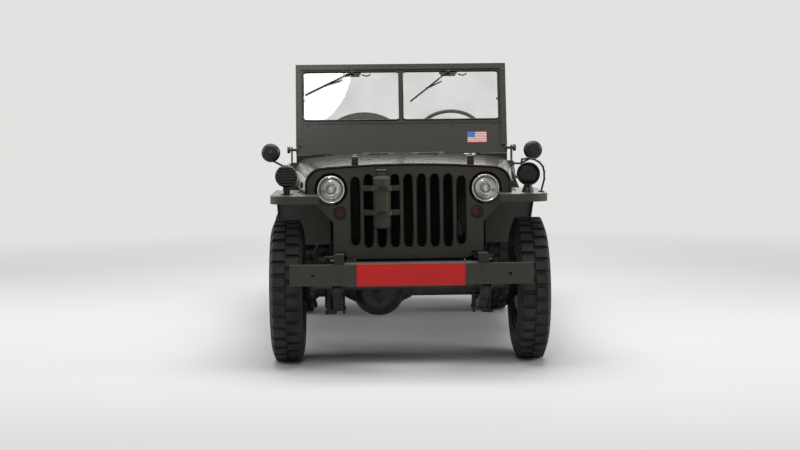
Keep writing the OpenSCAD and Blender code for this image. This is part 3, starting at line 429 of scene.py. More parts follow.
class Shape:
    """A mesh in the row frame that grows by simple forms and ends as one object on a body."""

    def __init__(self) -> None:
        """Starts empty."""
        self.bm = bmesh.new()

    def mesh(self, name: str) -> bpy.types.Mesh:
        """Ends the shape as mesh data.

        Args:
            name: Name of the mesh.

        Returns:
            The mesh.
        """
        mesh = bpy.data.meshes.new(name)
        self.bm.to_mesh(mesh)
        self.bm.free()
        return mesh

    def emit(self, name: str, finish: Finish, body: Body, smooth: float) -> bpy.types.Object:
        """Ends the shape as an object that rides on a body.

        Args:
            name: Name of the piece.
            finish: Its finish.
            body: Body that carries it.
            smooth: Edges sharper than this many degrees stay sharp.

        Returns:
            The object.
        """
        bmesh.ops.recalc_face_normals(self.bm, faces=self.bm.faces)
        mesh = self.mesh(name)
        mesh.materials.append(finish.material())
        mesh.shade_smooth()
        mesh.set_sharp_from_angle(angle=math.radians(smooth))
        obj = link(name, mesh)
        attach(obj, body.value)
        return obj

    def box(self, centre: Vector, size: Point, turn: Matrix | None = None, bevel: float = 0.0) -> None:
        """Adds a box.

        Args:
            centre: Centre.
            size: Size along each axis, metres.
            turn: Rotation, if any.
            bevel: Width of the softened edges.
        """
        mat = Matrix.Translation(centre) @ (turn.to_4x4() if turn else Matrix.Identity(4))
        made = bmesh.ops.create_cube(self.bm, size=1.0, matrix=mat @ Matrix.Diagonal((*size, 1.0)))
        if bevel > 0:
            edges = list({e for v in made["verts"] for e in v.link_edges})
            bmesh.ops.bevel(self.bm, geom=edges, offset=bevel, segments=2, affect="EDGES", profile=0.6)

    def rod(self, a: Vector, b: Vector, r: float, sides: int = 16, tip: float | None = None) -> None:
        """Adds a round rod between two points.

        Args:
            a: Start.
            b: End.
            r: Radius at the start.
            sides: Sides of the circle.
            tip: Radius at the end, if it differs.
        """
        way = b - a
        turn = way.to_track_quat("Z", "Y").to_matrix().to_4x4()
        bmesh.ops.create_cone(self.bm, cap_ends=True, segments=sides, radius1=r,
            radius2=r if tip is None else tip, depth=way.length,
            matrix=Matrix.Translation((a + b) / 2) @ turn)

    def skin(self, rows: Sequence[Sequence[Vector]], ring: bool = False,
            closed: bool = False) -> list[list[bmesh.types.BMVert]]:
        """Adds faces between rows of points, where a row of one point is a tip.

        Args:
            rows: The rows.
            ring: True where each row is a closed ring.
            closed: True to join the last row to the first.

        Returns:
            The vertices of each row.
        """
        made = [[self.bm.verts.new(p) for p in row] for row in rows]
        count = max(len(row) for row in made)
        for low, high in zip(made, made[1:] + made[:1] if closed else made[1:]):
            for i in range(count if ring else count - 1):
                j = (i + 1) % count
                loop = (low[i % len(low)], low[j % len(low)], high[j % len(high)], high[i % len(high)])
                corners = list(dict.fromkeys(loop))
                if len(corners) > 2:
                    self.bm.faces.new(corners)
        return made

    def lathe(self, origin: Vector, axis: Vector, profile: Sequence[Pair],
            sides: int = 48) -> None:
        """Adds a turned shape.

        Args:
            origin: Point on the axis.
            axis: Direction of the axis.
            profile: Radius and height pairs.
            sides: Sides of each circle.
        """
        turn = axis.to_track_quat("Z", "Y").to_matrix()
        angles = [2 * math.pi * i / sides for i in range(sides)]
        rows = []
        for r, h in profile:
            used = angles if r > 1e-6 else angles[:1]
            rows.append([origin + turn @ Vector((r * math.cos(t), r * math.sin(t), h)) for t in used])
        self.skin(rows, ring=True)

    def tube(self, path: Sequence[Vector], r: float, sides: int = 12, closed: bool = False) -> None:
        """Adds a round tube along a path.

        Args:
            path: Points of the centre line.
            r: Radius.
            sides: Sides of the section.
            closed: True for a ring.
        """
        count = len(path)
        angles = [2 * math.pi * k / sides for k in range(sides)]
        rows = []
        for i, p in enumerate(path):
            prev = path[(i - 1) % count] if closed or i else p
            nxt = path[(i + 1) % count] if closed or i < count - 1 else p
            way = (nxt - prev).normalized()
            side = way.cross(UP)
            if side.length < 1e-4:
                side = way.cross(Vector((1.0, 0.0, 0.0)))
            side.normalize()
            over = side.cross(way)
            rows.append([p + r * (math.cos(t) * side + math.sin(t) * over) for t in angles])
        made = self.skin(rows, ring=True, closed=closed)
        if not closed:
            self.bm.faces.new(made[0])
            self.bm.faces.new(made[-1][::-1])

    def thicken(self, depth: float) -> None:
        """Gives sheets a thickness.

        Args:
            depth: Thickness in metres.
        """
        bmesh.ops.solidify(self.bm, geom=self.bm.faces[:], thickness=depth)

    def bolt(self, p: Vector, axis: Vector, r: float = 0.008) -> None:
        """Adds a hexagon bolt head on its washer.

        Args:
            p: Place on the surface.
            axis: Direction away from the surface.
            r: Radius of the head.
        """
        n = axis.normalized()
        self.rod(p - 0.001 * n, p + 0.0015 * n, r * 1.35, 16)
        self.rod(p, p + r * 0.75 * n, r, 6, tip=r * 0.93)


@dataclass
class Dresser:
    """Base of every sub-assembly: keeps the frame and names the pieces it made.

    Attributes:
        made: Names of the pieces.
    """

    frame: dict
    made: list[str] = field(default_factory=list)

    def paint(self, finish: Finish, *nodes: str) -> None:
        """Gives CAD nodes a finish.

        Args:
            finish: The finish.
            nodes: Names of the nodes.
        """
        for name in nodes:
            mesh = self.frame["nodes"][name].data
            mesh.materials.clear()
            mesh.materials.append(finish.material())
            mesh.shade_smooth()
            mesh.set_sharp_from_angle(angle=math.radians(SHARP))

    def soften(self, node: str) -> None:
        """Joins the facets of a rounded CAD node for the eye, with a weld and a split by angle.

        Args:
            node: Name of the node.
        """
        obj = self.frame["nodes"][node]
        if "custom_normal" in obj.data.attributes:
            obj.data.attributes.remove(obj.data.attributes["custom_normal"])
        weld = obj.modifiers.new("weld", "WELD")
        weld.merge_threshold = WELD
        split = obj.modifiers.new("split", "EDGE_SPLIT")
        split.split_angle = math.radians(SPLIT)

    def pass_light(self, node: str) -> None:
        """Lets lamps and reflections pass a pane as through thin glass, while the eye still sees it.

        Args:
            node: Name of the node.
        """
        pane = self.frame["nodes"][node]
        pane.visible_diffuse = False
        pane.visible_glossy = False
        pane.visible_shadow = False

    def keep(self, shape: Shape, name: str, finish: Finish, body: Body = Body.CHASSIS,
            smooth: float = 40.0) -> bpy.types.Object:
        """Ends a shape as a piece and notes its name.

        Args:
            shape: The shape.
            name: Name of the piece.
            finish: Its finish.
            body: Body that carries it.
            smooth: Edges sharper than this many degrees stay sharp.

        Returns:
            The object.
        """
        self.made.append(name)
        return shape.emit(name, finish, body, smooth)

    def build(self) -> None:
        """Builds the sub-assembly."""
        raise NotImplementedError


@dataclass
class BodyShell(Dresser):
    """Painted tub, chassis and running gear that the CAD already shapes.

    Attributes:
        handle_y: Ends of the lifting handles, millimetres behind the front axle.
        handle_z: Height of the lifting handles.
        side_x: Outside of the body wall.
    """

    handle_y: Pair = (1665, 1845)
    handle_z: float = 868
    side_x: float = 725

    def build(self) -> None:
        """Dresses the CAD nodes and adds handles, bolts and reflectors."""
        self.paint(Palette.PAINT, "body_floor", "body_side_left", "body_side_right", "body_rear_panel",
            "wheel_houses", "cowl", "grille", "front_wings", "front_bumper", "rear_bumperettes",
            "decontaminator", "seat_frames", "windshield_frame")
        self.paint(Palette.FITTING, "blackout_lamp", "siren", "mirrors")
        # The radiator's near-black colour also paints the shade inside the grille slots.
        self.paint(Palette.CORE_AND_SHADE, "radiator")
        self.paint(Palette.HOOD, "hood")
        self.soften("hood")
        # The chassis black is darker than its paint and paints the shade under the car.
        self.paint(Palette.FRAME_AND_SHADE, "frame_rails", "front_axle", "rear_axle", "propeller_shafts",
            "leaf_springs", "shock_absorbers", "exhaust", "steering_gear", "steering_knuckle_left",
            "steering_knuckle_right", "tie_rod", "hand_controls", "rear_fittings")
        self.paint(Palette.IRON, "engine", "gearbox")
        self.paint(Palette.RUBBER, "steering_wheel", "wipers")
        self.paint(Palette.FITTING, "tail_lamps", "marker_lamps")
        self.paint(Palette.GLASS, "windshield_glass")
        self.pass_light("windshield_glass")
        self.handles()
        self.bolts()
        self.reflectors()

    def handles(self) -> None:
        """Lifting handles on the body sides and the rear panel."""
        shape = Shape()
        y0, y1 = self.handle_y
        for s in (-1, 1):
            x = s * self.side_x
            shape.tube([at(x - s, y0, self.handle_z), at(x + s * 18, y0 + 2, self.handle_z),
                at(x + s * 28, y0 + 14, self.handle_z), at(x + s * 28, y1 - 14, self.handle_z),
                at(x + s * 18, y1 - 2, self.handle_z), at(x - s, y1, self.handle_z)], 0.008, 14)
            for y in (y0, y1):
                shape.box(at(x + s * 2, y, self.handle_z), (0.005, 0.046, 0.036), bevel=0.0015)
                for d in (-15, 15):
                    shape.bolt(at(x + s * 4, y + d, self.handle_z), Vector((s, 0, 0)), 0.0045)
        self.keep(shape, "lifting_handles", Palette.PAINT)

    def bolts(self) -> None:
        """Bolt heads on the bumper ends, wings, sides and rear panel."""
        shape = Shape()
        for s in (-1, 1):
            for dz in (-26, 26):
                shape.bolt(at(s * 350, -525, 493 + dz), FRONT, 0.009)
            for y in (20, 130, 240):
                shape.bolt(at(s * 560, y, 868), UP, 0.006)
            for z in (545, 600, 655):
                shape.bolt(at(s * self.side_x, 1000, z), Vector((s, 0, 0)), 0.006)
            for z in (560, 640, 800, 890):
                shape.bolt(at(s * 690, 2600, z), BACK, 0.006)
            for x in (400, 560):
                shape.bolt(at(s * x, 2680, 513), BACK, 0.009)
        self.keep(shape, "body_bolts", Palette.PAINT)

    def reflectors(self) -> None:
        """Red reflectors and ringed lenses at the tail."""
        shape = Shape()
        ring = Shape()
        for s in (-1, 1):
            shape.lathe(at(s * 560, 2600, 850), BACK, [(0.034, 0.0), (0.034, 0.006), (0.026, 0.01),
                (0.0, 0.012)])
            ring.lathe(at(s * 560, 2600, 850), BACK, [(0.04, 0.0), (0.04, 0.008), (0.034, 0.009),
                (0.034, 0.0)])
            ring.lathe(at(s * 630, 2630, 720), BACK, [(0.0355, -0.022), (0.0365, 0.002), (0.03, 0.003),
                (0.03, 0.0)])
        self.keep(shape, "rear_reflectors", Palette.RED_LENS)
        self.keep(ring, "rear_lamp_rings", Palette.PAINT)


@dataclass
class FrontEnd(Dresser):
    """Grille slots, lamps, sign plate and small fittings at the nose.

    Attributes:
        face_y: Front of the grille, millimetres from the front axle.
        slot_pitch: Distance between the slot centres.
        slot_w: Width of a slot.
        slot_z: Lower and upper end of a slot.
        lamp: Sideways place, height and ring radius of a headlamp.
        marker: Sideways place, height and radius of a marker lamp.
        plate: Left, right, lower and upper edge of the sign plate.
        driving_lamp: Middle of the driving lamp's glass.
        cylinder: Axis of the strapped cylinder, across and behind the front axle.
        cowl_corner: Sideways place, height and radius of the cowl's round corner.
        seal: Front, rear and upper edge of the seal in that corner.
    """

    face_y: float = -120
    slot_pitch: float = 67.5
    slot_w: float = 48
    slot_z: Pair = (587, 970)
    lamp: tuple[float, float, float] = (393, 891, 72)
    marker: tuple[float, float, float] = (350, 769, 26)
    plate: tuple[float, float, float, float] = (-267, 260, 439, 546)
    driving_lamp: Point = (607, -165, 961)
    cylinder: Pair = (-135, -172)
    cowl_corner: tuple[float, float, float] = (537, 972, 75)
    seal: tuple[float, float, float] = (985.5, 989.5, 1038.5)

    def build(self) -> None:
        """Builds the nose fittings."""
        self.slot_lips()
        self.core()
        self.headlamps()
        self.markers()
        self.corner_seals()
        self.sign()
        self.wing_lamp()
        self.cylinder_straps()

    def slot_lips(self) -> None:
        """Pressed lips round the nine slots."""
        shape = Shape()
        r = self.slot_w / 2
        arc = [math.pi * k / 10 for k in range(11)]
        for i in range(9):
            x = (i - 4) * self.slot_pitch
            trim = 12 if i in (0, 8) else 0
            low, high = self.slot_z[0] + trim + r, self.slot_z[1] - trim - r
            path = [at(x + r * math.cos(t), self.face_y - 0.5, high + r * math.sin(t)) for t in arc]
            path += [at(x - r * math.cos(t), self.face_y - 0.5, low - r * math.sin(t)) for t in arc]
            shape.tube(path, 0.0035, 8, closed=True)
        self.keep(shape, "slot_lips", Palette.PAINT, smooth=60)

    def core(self) -> None:
        """Upright fins and water tubes on the front of the radiator."""
        shape = Shape()
        for i in range(64):
            shape.box(at(-248 + i * 496 / 63, -72, 765), (0.0012, 0.006, 0.318))
        for k in range(17):
            shape.box(at(0, -71, 612 + k * 19), (0.5, 0.003, 0.0035))
        shape.box(at(0, -62, 524), (0.54, 0.003, 0.052))
        # The fins take the same near-black, with the painted shade of the slots.
        self.keep(shape, "radiator_fins", Palette.CORE_AND_SHADE)

    def headlamps(self) -> None:
        """Bowls, bright rings, reflectors, bulbs and glasses."""
        x, z, r = self.lamp
        k = r / 1000
        bowl, ring, dish, bulb, lens = (Shape() for _ in range(5))
        for s in (-1, 1):
            o = at(s * x, self.face_y, z)
            bowl.lathe(o, BACK, [(0, 0.084), (0.03, 0.08), (0.056, 0.06), (0.066, 0.03),
                (k - 0.004, 0.004), (k - 0.007, -0.004)])
            bowl.box(o + Vector((0.005, 0.0275, -0.072)), (0.03, 0.045, 0.028), bevel=0.003)
            ring.lathe(o, BACK, [(k - 0.004, 0.006), (k, 0.004), (k + 0.0005, -0.006),
                (k - 0.0015, -0.0125), (k - 0.0045, -0.0155), (k - 0.007, -0.0145), (k - 0.0075, -0.008)],
                64)
            parts = (1.0, 0.93, 0.86, 0.8, 0.72, 0.66, 0.58, 0.52, 0.44, 0.38, 0.3, 0.2, 0.1, 0.0)
            steps = [(0.064 * t, 0.04 - 0.05 * t * t + 0.0022 * (i % 2)) for i, t in enumerate(parts)]
            dish.lathe(o, BACK, steps, 64)
            bulb.lathe(o, BACK, [(0.012, 0.04), (0.013, 0.026), (0.0125, 0.016), (0.009, 0.009),
                (0, 0.006)], 24)
            dish.lathe(o, BACK, [(0.027, 0.033), (0.0275, 0.022), (0.025, 0.02), (0.0235, 0.03)], 40)
            radii = [0.0645 * t for t in (1.0, 0.85, 0.7, 0.55, 0.4, 0.2, 0.0)]
            outer = [(q, 0.186 - math.sqrt(0.208 ** 2 - q ** 2)) for q in radii]
            inner = [(q, h + 0.003) for q, h in reversed(outer)]
            lens.lathe(o, BACK, outer, 64)
            lens.lathe(o, BACK, inner, 64)
        bmesh.ops.remove_doubles(lens.bm, verts=lens.bm.verts, dist=1e-6)
        shell = self.keep(bowl, "headlamp_bowls", Palette.PAINT)
        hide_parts("headlamps")
        self.keep(ring, "headlamp_rings", Palette.CHROME, smooth=60)
        self.keep(dish, "headlamp_reflectors", Palette.REFLECTOR, smooth=80)
        self.keep(bulb, "headlamp_bulbs", Palette.BULB)
        glass = self.keep(lens, "headlamp_glasses", Palette.LENS, smooth=80)
        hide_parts("headlamp_lenses")

    def corner_seals(self) -> None:
        """Rubber lips that close the cowl's round corners under the windshield, and the horns' bolts."""
        lips, bolts = Shape(), Shape()
        middle, height, r = self.cowl_corner
        front, rear, upper = self.seal
        for s in (-1, 1):
            xs = [444 + 12 * k for k in range(15)]
            low = [height + math.sqrt(max(r ** 2 - max(x - middle, 0) ** 2, 0)) - 32 for x in xs]
            top = [upper] * len(xs)
            edges = ((front, low), (front, top), (rear, top), (rear, low))
            made = lips.skin([[at(s * x, y, z) for x, z in zip(xs, edge)] for y, edge in edges],
                closed=True)
            for k in (0, -1):
                lips.bm.faces.new([row[k] for row in made])
            bolts.rod(at(s * 374, -420, 549), at(s * 396, -420, 549), 0.012, 12)
        self.keep(lips, "cowl_corner_seals", Palette.RUBBER)
        self.keep(bolts, "horn_bolts", Palette.FRAME_AND_SHADE)

    def markers(self) -> None:
        """Barred dark red faces and rims of the marker lamps, set back in their holes."""
        x, z, r = self.marker
        k = r / 1000
        face, rim = Shape(), Shape()
        for s in (-1, 1):
            o = at(s * x, self.face_y - 2, z)
            face.lathe(o, BACK, [(k, 0.001), (k * 0.97, -0.0012), (k * 0.6, -0.003), (0, -0.004)])
            for i in range(-3, 4):
                h = i * 0.0066
                w = math.sqrt(max(k * k - h * h, 0)) * 0.93
                face.tube([o + Vector((-w, -0.0012, h)), o + Vector((-w / 2, -0.0034, h)),
                    o + Vector((0, -0.0042, h)), o + Vector((w / 2, -0.0034, h)),
                    o + Vector((w, -0.0012, h))], 0.0014, 8)
            rim.lathe(o, BACK, [(k + 0.0012, 0.02), (k + 0.0012, -0.001), (k - 0.001, -0.002),
                (k - 0.001, 0.001)])
        self.keep(face, "marker_lenses", Palette.RED_LENS, smooth=60)
        self.keep(rim, "marker_rims", Palette.FITTING, smooth=60)

    def sign(self) -> None:
        """Blank red plate with a rolled edge on the bumper."""
        x0, x1, z0, z1 = self.plate
        shape = Shape()
        shape.box(at((x0 + x1) / 2, -526.2, (z0 + z1) / 2), ((x1 - x0) / 1000, 0.0024, (z1 - z0) / 1000),
            bevel=0.0009)
        self.keep(shape, "sign_plate", Palette.RED)
        edge = Shape()
        for z in (z0 + 3, z1 - 3):
            edge.box(at((x0 + x1) / 2, -527.6, z), ((x1 - x0 - 4) / 1000, 0.0012, 0.0025), bevel=0.0004)
        for x in (x0 + 3, x1 - 3):
            edge.box(at(x, -527.6, (z0 + z1) / 2), (0.0025, 0.0012, (z1 - z0 - 4) / 1000), bevel=0.0004)
        self.keep(edge, "sign_edge", Palette.RED)

    def wing_lamp(self) -> None:
        """Dark glass, slotted mask and peak of the driving lamp."""
        x, y, z = self.driving_lamp
        o = at(x, y, z)
        glass, peak = Shape(), Shape()
        glass.lathe(o, BACK, [(0.0515, -0.005), (0.04, -0.0095), (0.02, -0.012), (0, -0.0125)])
        glass.box(o + Vector((0, -0.013, 0.004)), (0.066, 0.004, 0.005), bevel=0.001)
        self.keep(glass, "driving_lamp_glass", Palette.DIAL)
        arc = [math.radians(15 + 150 * k / 20) for k in range(21)]
        bow = [(x + 57 * math.cos(t), z + 57 * math.sin(t)) for t in arc]
        peak.skin([[at(u, y + d, v) for u, v in bow] for d in (-12, -30)])
        peak.thicken(0.0018)
        self.keep(peak, "driving_lamp_peak", Palette.FITTING)

    def cylinder_straps(self) -> None:
        """Webbing, buckles and pump handle of the strapped cylinder."""
        strap, buckle = Shape(), Shape()
        x, y = self.cylinder
        arc = [math.radians(180 + 180 * k / 24) for k in range(25)]
        bow = [(x + 49.5 * math.cos(t), y + 49.5 * math.sin(t)) for t in arc]
        for z in (771, 895):
            strap.skin([[at(u, v, z + d) for u, v in bow] for d in (-11.5, 11.5)])
            frame = ((-17, -15), (17, -15), (17, 15), (-17, 15))
            buckle.tube([at(x + u, y - 51.5, z + v) for u, v in frame], 0.0022, 8, closed=True)
            buckle.rod(at(x, y - 51.5, z - 15), at(x, y - 51.5, z + 15), 0.0018, 8)
            for d in (-97, -87, 87, 97):
                buckle.bolt(at(x + d, -125, z), FRONT, 0.004)
        strap.thicken(0.0016)
        self.keep(strap, "cylinder_straps", Palette.CANVAS)
        buckle.rod(at(x, y, 970), at(x, y, 984), 0.005, 12)
        buckle.rod(at(x - 25, y, 986), at(x + 25, y, 986), 0.006, 12)
        self.keep(buckle, "strap_buckles", Palette.PAINT)


@dataclass
class HoodFittings(Dresser):
    """Catches, loops and hinge straps on the hood.

    Attributes:
        front: Half width and place of the hood's front edge, millimetres.
        flare: How much the half width grows with each millimetre to the rear.
    """

    front: Pair = (532, -132)
    flare: float = 0.083

    def build(self) -> None:
        """Builds the hood fittings."""
        shape = Shape()
        for s in (-1, 1):
            for y in (120, 420):
                x = s * (self.front[0] + (y - self.front[1]) * self.flare)
                shape.box(at(x, y, 905), (0.006, 0.06, 0.03), bevel=0.0015)
                shape.bolt(at(x + s * 3, y - 18, 905), Vector((s, 0, 0)), 0.004)
                shape.bolt(at(x + s * 3, y + 18, 905), Vector((s, 0, 0)), 0.004)
        for x in (-140, 140):
            shape.box(at(x, 700, 1051), (0.11, 0.05, 0.003), bevel=0.001)
            for d in (-38, 0, 38):
                shape.bolt(at(x + d, 694, 1052), UP, 0.0045)
        self.keep(shape, "hood_fittings", Palette.HOOD, Body.HOOD)
        pads, loops = Shape(), Shape()
        for x in (-270, 320):
            pads.box(at(x, -82, 1034.5), (0.0325, 0.0625, 0.041), bevel=0.004)
            loops.tube([at(x - 11, -82, 1054), at(x - 9, -82, 1063), at(x + 9, -82, 1063),
                at(x + 11, -82, 1054)], 0.0022, 8)
        self.keep(pads, "hood_rest_pads", Palette.RUBBER, Body.HOOD)
        self.keep(loops, "hood_rest_loops", Palette.STEEL, Body.HOOD)


@dataclass
class Windshield(Dresser):
    """Seals, catches, motors and striped mark on the folding windshield.

    Attributes:
        pivot: Pivot of the frame, millimetres behind the front axle and above the ground.
        lean: Lean in degrees.
        pane: Inner, outer, lower and upper edge of a pane in the frame's own plane.
        mark_box: The same edges of the striped mark.
        wipers: Pivot and end of each wiper in that plane.
    """

    pivot: Pair = (1000, 1069)
    lean: float = 12.0
    pane: tuple[float, float, float, float] = (12, 568, 172, 457)
    mark_box: tuple[float, float, float, float] = (384.0, 495.0, 32.0, 96.0)
    wipers: tuple[tuple[Pair, Pair], ...] = (((-284, 453), (-557, 322)), ((279, 453), (54, 278)))

    def spot(self, x: float, y: float, z: float) -> Vector:
        """Place in the leaning frame.

        Args:
            x: Millimetres to the left.
            y: Millimetres behind the frame's middle plane.
            z: Millimetres up the frame from its pivot.

        Returns:
            The place in the row frame.
        """
        c, s = math.cos(math.radians(self.lean)), math.sin(math.radians(self.lean))
        return at(x, self.pivot[0] + c * y + s * z, self.pivot[1] - s * y + c * z)

    @property
    def turn(self) -> Matrix:
        """Rotation of the leaning frame."""
        return Matrix.Rotation(math.radians(-self.lean), 3, "X")

    def build(self) -> None:
        """Builds what the frame carries."""
        seal, metal, motor = Shape(), Shape(), Shape()
        x0, x1, z0, z1 = self.pane
        for s in (-1, 1):
            for y in (-6.5, 6.5):
                corners = [(x0 - 2, z0 - 2), (x1 + 2, z0 - 2), (x1 + 2, z1 + 2), (x0 - 2, z1 + 2)]
                path = []
                for i, (a, b) in enumerate(corners):
                    c, d = corners[(i + 1) % 4]
                    path += [(a + (c - a) * t, b + (d - b) * t) for t in (0.03, 0.5, 0.97)]
                seal.tube([self.spot(s * a, y, b) for a, b in path], 0.0045, 8, closed=True)
            for x in (60, 300, 540):
                metal.bolt(self.spot(s * x, -4, 140), self.turn @ FRONT, 0.005)
                metal.bolt(self.spot(s * x, -14, 487), self.turn @ FRONT, 0.004)
            for z in (60, 200, 330, 460):
                metal.bolt(self.spot(s * 597, -14, z), self.turn @ FRONT, 0.004)
            metal.box(self.spot(s * 597, 18, 250), (0.018, 0.008, 0.12), self.turn, 0.002)
            metal.rod(self.spot(s * 597, 20, 300), self.spot(s * 560, 34, 300), 0.006, 12)
        for (x, _), _ in self.wipers:
            motor.box(self.spot(x, 26, 462), (0.09, 0.036, 0.05), self.turn, 0.008)
            motor.rod(self.spot(x + 52, 26, 462), self.spot(x - 52, 26, 462), 0.014, 20)
            metal.rod(self.spot(x, -30, 454), self.spot(x, -14, 454), 0.009, 16)
            motor.tube([self.spot(x + 44, 20, 462), self.spot(x + 74, 20, 470),
                self.spot(x + 104, 20, 462), self.spot(x + 108, 20, 446), self.spot(x + 84, 20, 438),
                self.spot(x + 58, 20, 446)], 0.0042, 8)
        blade = Shape()
        for (x, z), (u, w) in self.wipers:
            mid = Vector((x + 0.56 * (u - x), z + 0.56 * (w - z)))
            run = (Vector((u, w)) - Vector((x, z))).normalized()
            tip = mid - Vector((run.x, run.y * 0.62)) * 108
            blade.rod(self.spot(mid.x, -13, mid.y), self.spot(tip.x, -11, tip.y), 0.0042, 10)
            blade.rod(self.spot(mid.x, -19, mid.y), self.spot(mid.x, -8, mid.y), 0.0065, 12)
        self.keep(blade, "wiper_blades", Palette.RUBBER, Body.WINDSHIELD)
        for i in range(9):
            metal.rod(self.spot(-540 + 135 * i, -4, 497), self.spot(-540 + 135 * i, -4, 503), 0.006, 12)
        self.keep(seal, "glass_seals", Palette.RUBBER, Body.WINDSHIELD, 60)
        self.keep(metal, "windshield_bolts", Palette.PAINT, Body.WINDSHIELD)
        self.keep(motor, "wiper_motors", Palette.FRAME_AND_SHADE, Body.WINDSHIELD)
        self.mark()

    def mark(self) -> None:
        """Small striped mark on the lower panel."""
        red, white, blue = Shape(), Shape(), Shape()
        x0, x1, z0, z1 = self.mark_box
        step = (z1 - z0) / 13
        for i in range(13):
            stripe = white if i % 2 else red
            stripe.box(self.spot((x0 + x1) / 2, -4.5, z0 + (i + 0.5) * step),
                ((x1 - x0) / 1000, 0.0008, step / 1000), self.turn)
        blue.box(self.spot(x0 + 22, -4.8, z1 - 3.5 * step), (0.044, 0.0008, 7 * step / 1000), self.turn)
        self.keep(red, "mark_red_stripes", Palette.MARK_RED, Body.WINDSHIELD)
        self.keep(white, "mark_white_stripes", Palette.WHITE, Body.WINDSHIELD)
        self.keep(blue, "mark_blue_field", Palette.BLUE, Body.WINDSHIELD)


@dataclass
class Wheels(Dresser):
    """Sidewall ribs, hub bolts and valves of the five wheels.

    Attributes:
        track: Distance between the wheels of an axle, millimetres.
        wheelbase: Distance between the axles.
        radius: Height of the wheel centres.
        spare: Centre of the spare wheel.
        ribs: Radius and half width of the sidewall ribs.
    """

    track: float = 1245
    wheelbase: float = 2032
    radius: float = 365
    spare: Point = (-215, 2724, 921)
    ribs: tuple[Pair, ...] = ((232, 75.6), (252, 79.8), (303, 80.6), (313, 79.2))

    def build(self) -> None:
        """Dresses and details each wheel."""
        for name, s, y, body in (("front_left", 1, 0, Body.FRONT_LEFT),
                ("front_right", -1, 0, Body.FRONT_RIGHT), ("rear_left", 1, self.wheelbase, Body.REAR_LEFT),
                ("rear_right", -1, self.wheelbase, Body.REAR_RIGHT)):
            self.one(name, at(s * self.track / 2, y, self.radius), Vector((s, 0, 0)), body, True)
        self.one("spare", at(*self.spare), BACK, Body.CHASSIS, False)

    def one(self, name: str, o: Vector, axis: Vector, body: Body, running: bool) -> None:
        """Dresses one wheel.

        Args:
            name: Ending of the node names.
            o: Centre.
            axis: Outward direction.
            body: Body that carries it.
            running: False for the spare, which has no hub.
        """
        self.paint(Palette.TYRE, f"tyre_{name}")
        self.paint(Palette.WHEEL, f"wheel_{name}")
        rubber = Shape()
        for r, half in self.ribs:
            for side in (-1, 1):
                h = side * half / 1000
                k = r / 1000
                rubber.lathe(o, axis, [(k - 0.004, h - side * 0.002), (k - 0.0015, h + side * 0.0016),
                    (k + 0.0015, h + side * 0.0016), (k + 0.004, h - side * 0.002)], 72)
        self.keep(rubber, f"sidewall_ribs_{name}", Palette.TYRE, body, 80)
        metal = Shape()
        turn = axis.to_track_quat("Z", "Y").to_matrix()
        if running:
            for i in range(6):
                t = math.radians(60 * i)
                metal.bolt(o + turn @ Vector((0.022 * math.cos(t), 0.022 * math.sin(t), 0.094)), axis,
                    0.0045)
            metal.lathe(o, axis, [(0.042, 0.072), (0.043, 0.079), (0.036, 0.08), (0.031, 0.09)], 40)
        else:
            metal.lathe(o, axis, [(0.044, 0.0145), (0.044, 0.018), (0.02, 0.022), (0, 0.022)], 40)
        valve = turn @ Vector((0.178, 0, 0.022))
        metal.rod(o + valve, o + valve + turn @ Vector((0.006, 0, 0.032)), 0.004, 12, tip=0.003)
        self.keep(metal, f"hub_trim_{name}", Palette.WHEEL, body)


@dataclass
class Cabin(Dresser):
    """Dials, switches and mirror glasses.

    Attributes:
        dash_y: Rear face of the dash, millimetres behind the front axle.
        dials: Sideways place, height and radius of each dial.
    """

    dash_y: float = 984
    dials: tuple[tuple[float, float, float], ...] = ((60, 905, 42), (-22, 925, 22), (-22, 880, 22),
        (142, 925, 22), (142, 880, 22))

    def build(self) -> None:
        """Builds what the driver sees."""
        face, rim, mark, knob, mirror = (Shape() for _ in range(5))
        for x, z, r in self.dials:
            o = at(x, self.dash_y, z)
            k = r / 1000
            face.lathe(o, BACK, [(k, -0.001), (k, 0.003), (0, 0.003)], 40)
            rim.lathe(o, BACK, [(k + 0.004, -0.001), (k + 0.004, 0.006), (k, 0.007), (k - 0.002, 0.003)],
                40)
            for i in range(9):
                t = math.radians(-30 + 30 * i)
                mark.box(o + Vector((k * 0.8 * math.cos(t), 0.0034, k * 0.8 * math.sin(t))),
                    (k * 0.16, 0.0008, 0.0015), Matrix.Rotation(-t, 3, "Y"))
            mark.box(o + Vector((k * 0.25, 0.0045, k * 0.25)), (k * 0.7, 0.0008, 0.0018),
                Matrix.Rotation(math.radians(-45), 3, "Y"))
        for x in (-90, -120, 200, 232):
            knob.lathe(at(x, self.dash_y, 868), BACK, [(0.005, 0), (0.005, 0.018), (0.011, 0.02),
                (0.012, 0.028), (0, 0.031)], 24)
        for s in (-1, 1):
            mirror.lathe(at(s * 756, 932, 1055), BACK, [(0.051, 0.0), (0.049, 0.0012), (0, 0.0016)], 48)
        self.keep(face, "dial_faces", Palette.DIAL)
        self.keep(rim, "dial_rims", Palette.FRAME_AND_SHADE)
        self.keep(mark, "dial_marks", Palette.WHITE)
        self.keep(knob, "dash_knobs", Palette.RUBBER)
        self.keep(mirror, "mirror_glasses", Palette.MIRROR)


@dataclass(frozen=True)
class Pad:
    """A stuffed canvas piece in its own box.

    Attributes:
        name: Name of the piece.
        corner: Lower front corner at its middle, millimetres across, behind the axle and up.
        size: Width, depth and height in millimetres.
        tilt: Lean in degrees.
        thin: Index of the thickness axis.
        channels: Number of sewn channels across its width.
    """

    name: str
    corner: Point
    size: Point
    tilt: float
    thin: int
    channels: int


